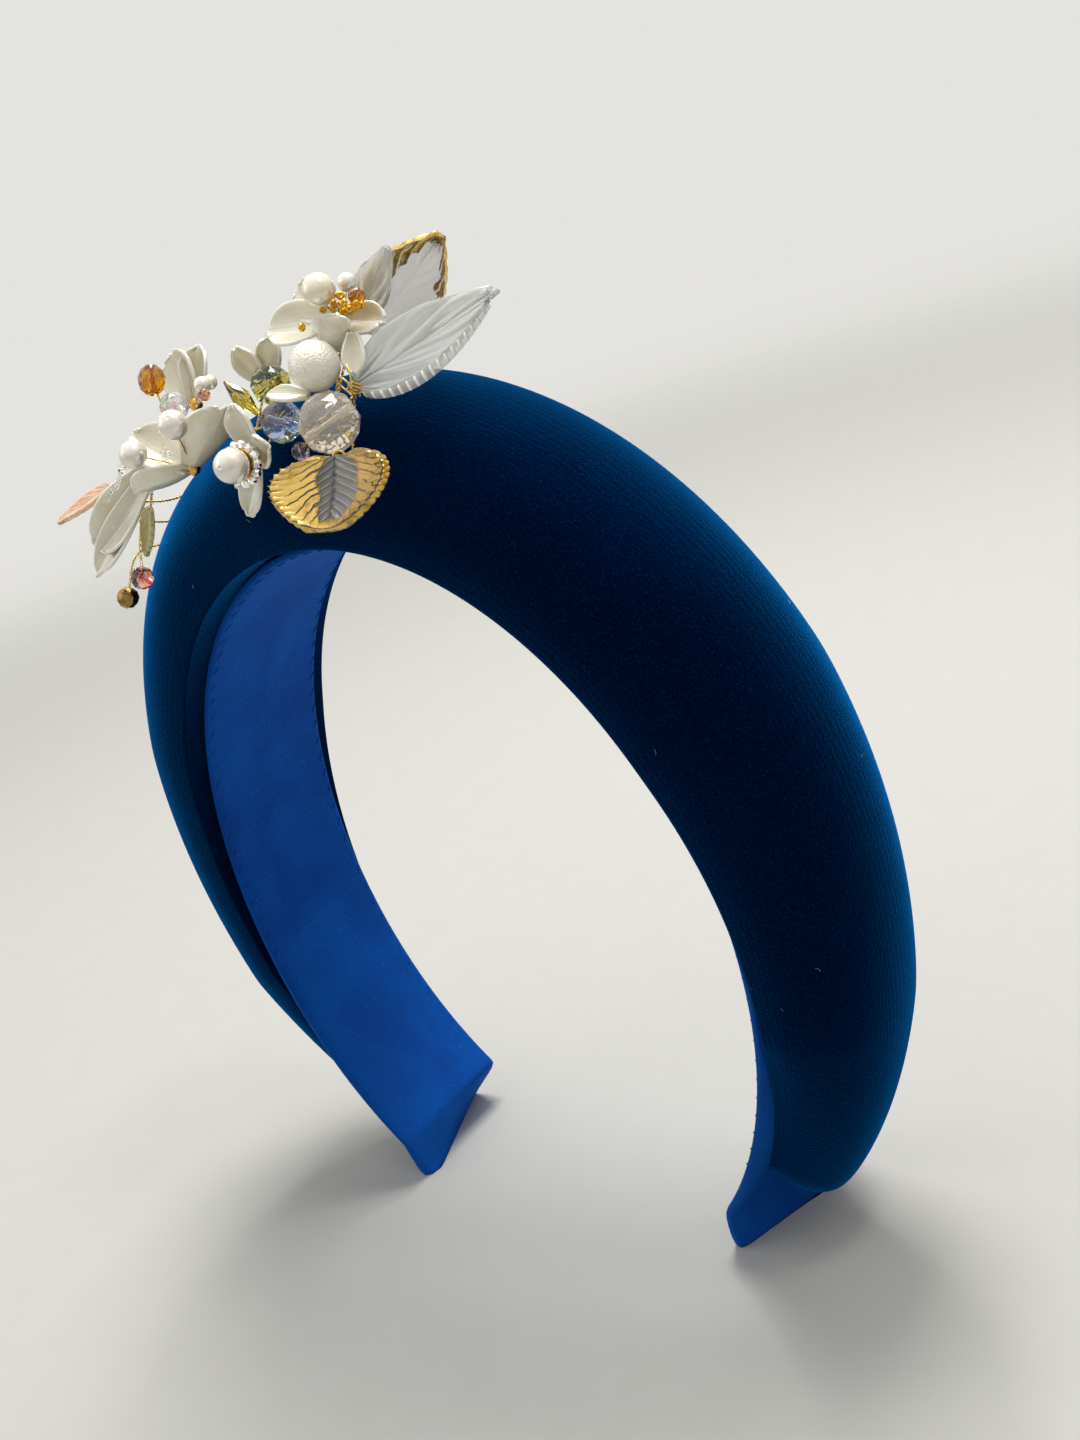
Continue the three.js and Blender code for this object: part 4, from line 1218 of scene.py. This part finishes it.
# gold wire: the vine on the velvet, its stems, and the finer stamens, loops and wraps
vine = {
    "alongs": [14.5, 7, -3, -12, -21, -30, -35, -40], "turns": [125, 127, 128, 121, 102, 82, 76, 72],
    "strand": 0.16, "pitch": 1.8, "clear": 0.8, "steps": 24,
}
fineWire = {"strand": 0.16, "spread": 0.01, "pitch": 10, "step": 0.4, "coilSteps": 16}
anchors = {  # where a wire meets each piece
    **{name: leaf["base"] for name, leaf in {**goldLeaves, **plainLeaves, "milkyLeaf": milkyLeaf}.items()},
    **{name: flower["hub"] for name, flower in flowers.items()},
    **{name: bead["at"] for name, bead in {**pearls, **stones, "rondelle": rondelle}.items()},
}
stems = [  # along the vine, bends, end
    (13.5, [], "clearCrystal"), (12.5, [], "cottonPearl"), (14.2, [], "milkyLeaf"),
    (14.2, [[17.5, 21.5, -7.5]], "goldLeafFront"), (13, [[11, 8, 1.5]], "goldLeafBack"),
    (11, [[11.5, 12, 6]], "flowerUpper"), (11, [[10.8, 9, 6]], "clearLeafSmall"),
    (7, [], "blueCrystal"), (9.5, [], "purpleBead"), (10.5, [[11, 18, -0.5]], "ovalPetal"),
    (3, [], "flowerSmall"), (1.5, [], "oliveCrystal"), (2.2, [[3.4, 19.6, -3]], [2.8, 20.7, -0.2]),
    (-3, [[-3, 13, 0]], "petalPair"), (-12, [], "flowerLarge"), (-12, [], "flowerBack"),
    (-21, [], "flowerSide"), (-21, [[-24.6, 18, 0]], "oliveLeaf"),
    (-30, [[-33.4, -1.5, 1.2], [-35, 6, 1.6], [-33.6, 14, 2.6], [-32.3, 17.4, 4.2]], "blushLeaf"),
    (-35, [[-38.4, -2, 1.1], [-40, 5, 1.4], [-38.6, 13.5, 1.6]], "pinkBead"),
    (-40, [[-43.2, -4.5, 1], [-45.2, 2, 1.4], [-44.4, 13, 1.5]], "bronzeBead"),
]
stamens = [  # fine single wires from a flower to its beads
    ["flowerUpper", [11.6, 12.8, 15.6], "upperPearl"], ["flowerUpper", [12.2, 9, 15.4], "upperBead"],
    ["flowerUpper", [14, 11.4, 14.6], "upperAmberBead"], ["flowerUpper", [14, 13, 12.6], "whitePetal"],
    [[11.9, 12, 9.4], [12.3, 13.2, 8.2], [12.7, 14.4, 8.3]],  # stalk of the upright petal
    ["flowerSmall", "rondelle", "smallFlowerPearl"], ["flowerLarge", [-8.6, 26.2, -1.4], "largeFlowerPearl"],
    ["flowerLarge", [-10.6, 23, 0.6], "opalBead"], ["flowerLarge", [-12.4, 22.2, 4], "amberBead"],
    ["flowerLarge", [-13.2, 26.4, -1.4], "sideFlowerPearl"],
]
loops = [  # loose ends of wire beside the milky leaf
    [[17.2, 19, 3.0], [15.6, 19.2, 4.6], [15.6, 19.3, 5.5], [16.5, 19.2, 5.5], [17.1, 19, 4.4],
     [17.2, 18.9, 3.0], [17.0, 18, 1.6]],
    [[17.2, 19, 3.0], [17.0, 18.4, 4.8], [16.6, 18, 6.6], [15.6, 17, 7.6]],
    [[18.2, 20.6, 2.2], [17.4, 19, 1.6], [16.4, 17.2, 1.2]],
]
wraps = [  # coils wound round a stem: from, to, radius, turns
    ([15.7, 16.4, 2.2], [16.3, 15.8, 4.2], 1.15, 4),
    ([18.6, 25.2, -5.2], [19.5, 26.9, -4.2], 0.9, 3),
    ([11.9, 12, 9.5], [12, 11.2, 11.8], 0.7, 4),
]


def wireSpot(spot):  # the name of a piece, or a place of its own
    return place(anchors[spot] if isinstance(spot, str) else spot)


def vinePoint(along):
    turn = np.interp(-along, [-a for a in vine["alongs"]], vine["turns"])
    return padPoint(along, float(turn), vine["clear"])


def coilPath(start, end, radius, turns):
    start, end = place(start), place(end)
    axis = (end - start).normalized()
    side = axis.orthogonal().normalized()
    other = axis.cross(side)
    steps, made = turns * fineWire["coilSteps"], []
    for k in range(steps + 1):
        angle = k / fineWire["coilSteps"] * math.tau
        off = (side * math.cos(angle) + other * math.sin(angle)) * radius * mm
        made.append(start + (end - start) * (k / steps) + off)
    return made


def buildWires():
    alongs = np.linspace(vine["alongs"][0], vine["alongs"][-1], vine["steps"])
    routes = [smoothPath([vinePoint(a) for a in alongs])]
    for along, bends, end in stems:
        routes.append(smoothPath([vinePoint(along), *[wireSpot(s) for s in [*bends, end]]]))
    twisted = wireAlong("wireVine", routes, vine["strand"], vine["strand"], vine["pitch"])
    settle(twisted, "wire", "wire_vine")
    fine = [smoothPath([wireSpot(s) for s in path], fineWire["step"]) for path in stamens + loops]
    fine += [coilPath(*wrap) for wrap in wraps]
    single = wireAlong("stamenWire", fine, fineWire["strand"], fineWire["spread"], fineWire["pitch"])
    settle(single, "wire")


buildWires()
print("wires laid")


# seed beads: gold stamens in the upper flower, clear ones on the side flower's rim
goldSeeds = {
    "count": 30, "centre": [13.4, 12.6, 15.6], "spread": [3.0, 1.5, 1.2], "turn": 2.39996,
    "stray": [11, 18, 13], "radius": 0.62, "vary": 0.2, "seed": 4, "look": "seedGold",
}
clearSeeds = {
    "count": 13, "from": [-22.6, 24, 4.2], "run": [-6.4, 1.7, -1.4], "wave": 0.3, "waves": 9,
    "strays": [[-12.2, 26, -0.4], [-12.9, 26.2, 0.2], [-13.4, 25.8, -0.7], [-12.6, 25.4, 0.6]],
    "radius": 0.55, "vary": 0.25, "seed": 9, "look": "clearSeed",
}


def setSeeds(name, spots, spec):
    values = {"Bead Radius": spec["radius"] * mm, "Vary": spec["vary"], "Seed": spec["seed"]}
    source = pathObject(name + "Spots", [[place(spot)] for spot in spots])
    return runTree(name, source, seedTree, {**values, "Material": looks[spec["look"]]})


def goldSpots():  # a flat whorl in five layers
    spots = []
    for k in range(goldSeeds["count"]):
        turn, reach = k * goldSeeds["turn"], math.sqrt((k + 0.5) / goldSeeds["count"])
        shift = [math.cos(turn) * reach, math.sin(turn) * reach, ((k * 7) % 5 - 2) / 2]
        spots.append([c + s * d for c, s, d in zip(goldSeeds["centre"], goldSeeds["spread"], shift)])
    return [*spots, goldSeeds["stray"]]


def clearSpots():  # a wavy row, and a few loose ones
    spots = []
    for t in np.linspace(0, 1, clearSeeds["count"]):
        along, ahead, lift = [start + run * t for start, run in zip(clearSeeds["from"], clearSeeds["run"])]
        spots.append([along, ahead, lift + clearSeeds["wave"] * math.sin(clearSeeds["waves"] * t)])
    return spots + clearSeeds["strays"]


settle(setSeeds("goldSeeds", goldSpots(), goldSeeds), "wire")
settle(setSeeds("clearSeeds", clearSpots(), clearSeeds), "crystal")
print("seed beads set")


# hand stitches along both sides of the lining, and lint caught in the pile
stitching = {
    "inset": 1.2, "depth": 2.2, "reach": 0.93, "steps": 260,
    "spacing": 4.2, "length": 2.4, "thread": 0.16, "lean": 0.6,
}
lint = {"density": 900.0, "length": 0.9, "radius": 0.02, "lift": 0.12, "seed": 11}


def stitchPoint(along, side):
    point, _, outward, _, _ = station(along)
    across = side * (lining["halfWidth"] - stitching["inset"])
    return inFrame(point - outward * stitching["depth"] + Vector((0, across, 0)))


def buildStitches():
    reach = padLength * stitching["reach"]
    alongs = np.linspace(-reach, reach, stitching["steps"])
    paths = [[stitchPoint(a, side) for a in alongs] for side in (-1, 1)]
    made = runTree("liningStitches", pathObject("stitchRoutes", paths), stitchTree, {
        "Spacing": stitching["spacing"] * mm, "Length": stitching["length"] * mm,
        "Thread Radius": stitching["thread"] * mm, "Lean": stitching["lean"], "Material": looks["lining"]})
    settle(made, "lining")


def lintMaterial():
    made, tree, shader = newMaterial("paleLint", {"Roughness": 0.8, "Sheen Weight": 0.3})
    patch = ramp(tree, cloud(tree, objectSpot(tree), 60.0, 2), 0.4, 0.6)
    feed(shader, {"Base Color": mix(tree, patch, tone("d8dbe0"), tone("8fa6c4"))})
    return made


def buildLint():
    copy = addObject("lintBase", velvetPad.data.copy())
    made = runTree("velvetLint", copy, lintTree, {
        "Density": lint["density"], "Length": lint["length"] * mm, "Fibre Radius": lint["radius"] * mm,
        "Lift": lint["lift"] * mm, "Seed": lint["seed"], "Material": lintMaterial()})
    settle(made, "velvet")


buildStitches()
buildLint()
print("stitches and lint set")


# camera at the photograph's angle
shot = {
    "azimuth": 44.5, "elevation": 17.5, "roll": -18.8, "distance": 292.9, "aim": Vector((23.1, 0, 34.7)),
    "lens": 40, "sensor": 36, "clipStart": 0.01,
}


def cameraWay():
    a, e = math.radians(shot["azimuth"]), math.radians(shot["elevation"])
    return Vector((math.sin(a) * math.cos(e), -math.cos(a) * math.cos(e), math.sin(e)))


def buildCamera():
    a, r, back = math.radians(shot["azimuth"]), math.radians(shot["roll"]), cameraWay()
    level = Vector((math.cos(a), math.sin(a), 0))
    above = back.cross(level)
    right = level * math.cos(r) + above * math.sin(r)
    up = above * math.cos(r) - level * math.sin(r)
    data = bpy.data.cameras.new("camera")
    data.lens, data.sensor_width, data.clip_start = shot["lens"], shot["sensor"], shot["clipStart"]
    camera = addObject("camera", data)
    turn = Matrix((right, up, back)).transposed().to_4x4()
    camera.matrix_world = Matrix.Translation(inFrame(shot["aim"] + back * shot["distance"])) @ turn
    scene.camera = camera


buildCamera()


# pale floor that fades into an even backdrop, soft light from above, in metres
stage = {
    "floor": "c8c8c5", "floorGrain": "c4c4c0", "backdrop": "e4e3df", "radius": 2.0, "segments": 96,
    "fadeFrom": 0.5, "fadeTo": 1.6, "skyLow": 0.65, "skyHigh": 1.6, "room": 0.8,
    "ambient": 0.46, "domeLow": 0.42, "domeHigh": 1.8, "lampsAim": Vector((0, 0, 0.1)),
}
lamps = {
    "skylight": {"at": (-0.05, 0.3, 1.0), "size": 0.42, "power": 7.0, "tint": (1.0, 0.98, 0.95)},
    "downlightNear": {"at": (0.42, 0.05, 0.85), "size": 0.1, "power": 0.9, "tint": (1.0, 0.97, 0.92)},
    "downlightFar": {"at": (-0.2, 0.5, 0.8), "size": 0.1, "power": 0.9, "tint": (1.0, 0.97, 0.92)},
    "fill": {"at": (-0.8, -0.6, 0.6), "size": 0.6, "power": 0.8, "tint": (0.95, 0.97, 1.0)},
}


def buildFloor():
    mesh = bpy.data.meshes.new("floor")
    work = bmesh.new()
    bmesh.ops.create_circle(work, cap_ends=True, segments=stage["segments"], radius=stage["radius"])
    work.to_mesh(mesh)
    work.free()
    floor = addObject("floor", mesh)
    made, tree, shader = newMaterial("paleFloor", {"Roughness": 0.75, "Specular IOR Level": 0.2})
    spot = objectSpot(tree)
    grain = mix(tree, cloud(tree, spot, 90.0, 5), tone(stage["floor"]), tone(stage["floorGrain"]))
    far = out(node(tree, "ShaderNodeVectorMath", {0: spot}, operation="LENGTH"), "Value")
    fade = ramp(tree, far, stage["fadeFrom"], stage["fadeTo"], 1.0, 0.0)
    feed(shader, {"Base Color": grain, "Alpha": fade})
    mesh.materials.append(made)
    floor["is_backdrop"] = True


def buildSky():  # brighter overhead, darker behind the camera, even where the camera sees it
    world = bpy.data.worlds.new("studio")
    scene.world = world
    world.use_nodes = True
    tree = world.node_tree
    shader = tree.nodes["Background"]
    shader.inputs["Color"].default_value = tone(stage["backdrop"])
    way = out(node(tree, "ShaderNodeTexCoord"), "Generated")
    rise = node(tree, "ShaderNodeSeparateXYZ", {0: way}).outputs["Z"]
    values = {0: way, 1: tuple(cameraWay())}
    toward = out(node(tree, "ShaderNodeVectorMath", values, operation="DOT_PRODUCT"), "Value")
    overhead = ramp(tree, rise, -0.3, 0.8, stage["skyLow"], stage["skyHigh"])
    sky = times(tree, overhead, ramp(tree, toward, 0.35, 0.95, 1.0, stage["room"]))
    low, high = stage["ambient"] * stage["domeLow"], stage["ambient"] * stage["domeHigh"]
    path = node(tree, "ShaderNodeLightPath").outputs
    soft = ramp(tree, path["Is Diffuse Ray"], 0.0, 1.0, sky, ramp(tree, rise, -0.1, 0.9, low, high))
    feed(shader, {"Strength": ramp(tree, path["Is Camera Ray"], 0.0, 1.0, soft, 1.0)})


def buildLamp(name, lamp):
    data = bpy.data.lights.new(name, "AREA")
    data.size, data.energy, data.color = lamp["size"], lamp["power"], lamp["tint"]
    made = addObject(name, data)
    made.location = lamp["at"]
    made.rotation_euler = (Vector(lamp["at"]) - stage["lampsAim"]).to_track_quat("Z", "Y").to_euler()
    made.visible_camera = False


buildFloor()
buildSky()
for name, lamp in lamps.items():
    buildLamp(name, lamp)
scene.view_settings.view_transform = "Standard"
print("stage set")

low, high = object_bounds()
{"cad": [list(cadLow), list(cadHigh)], "visual": [list(low), list(high)]}
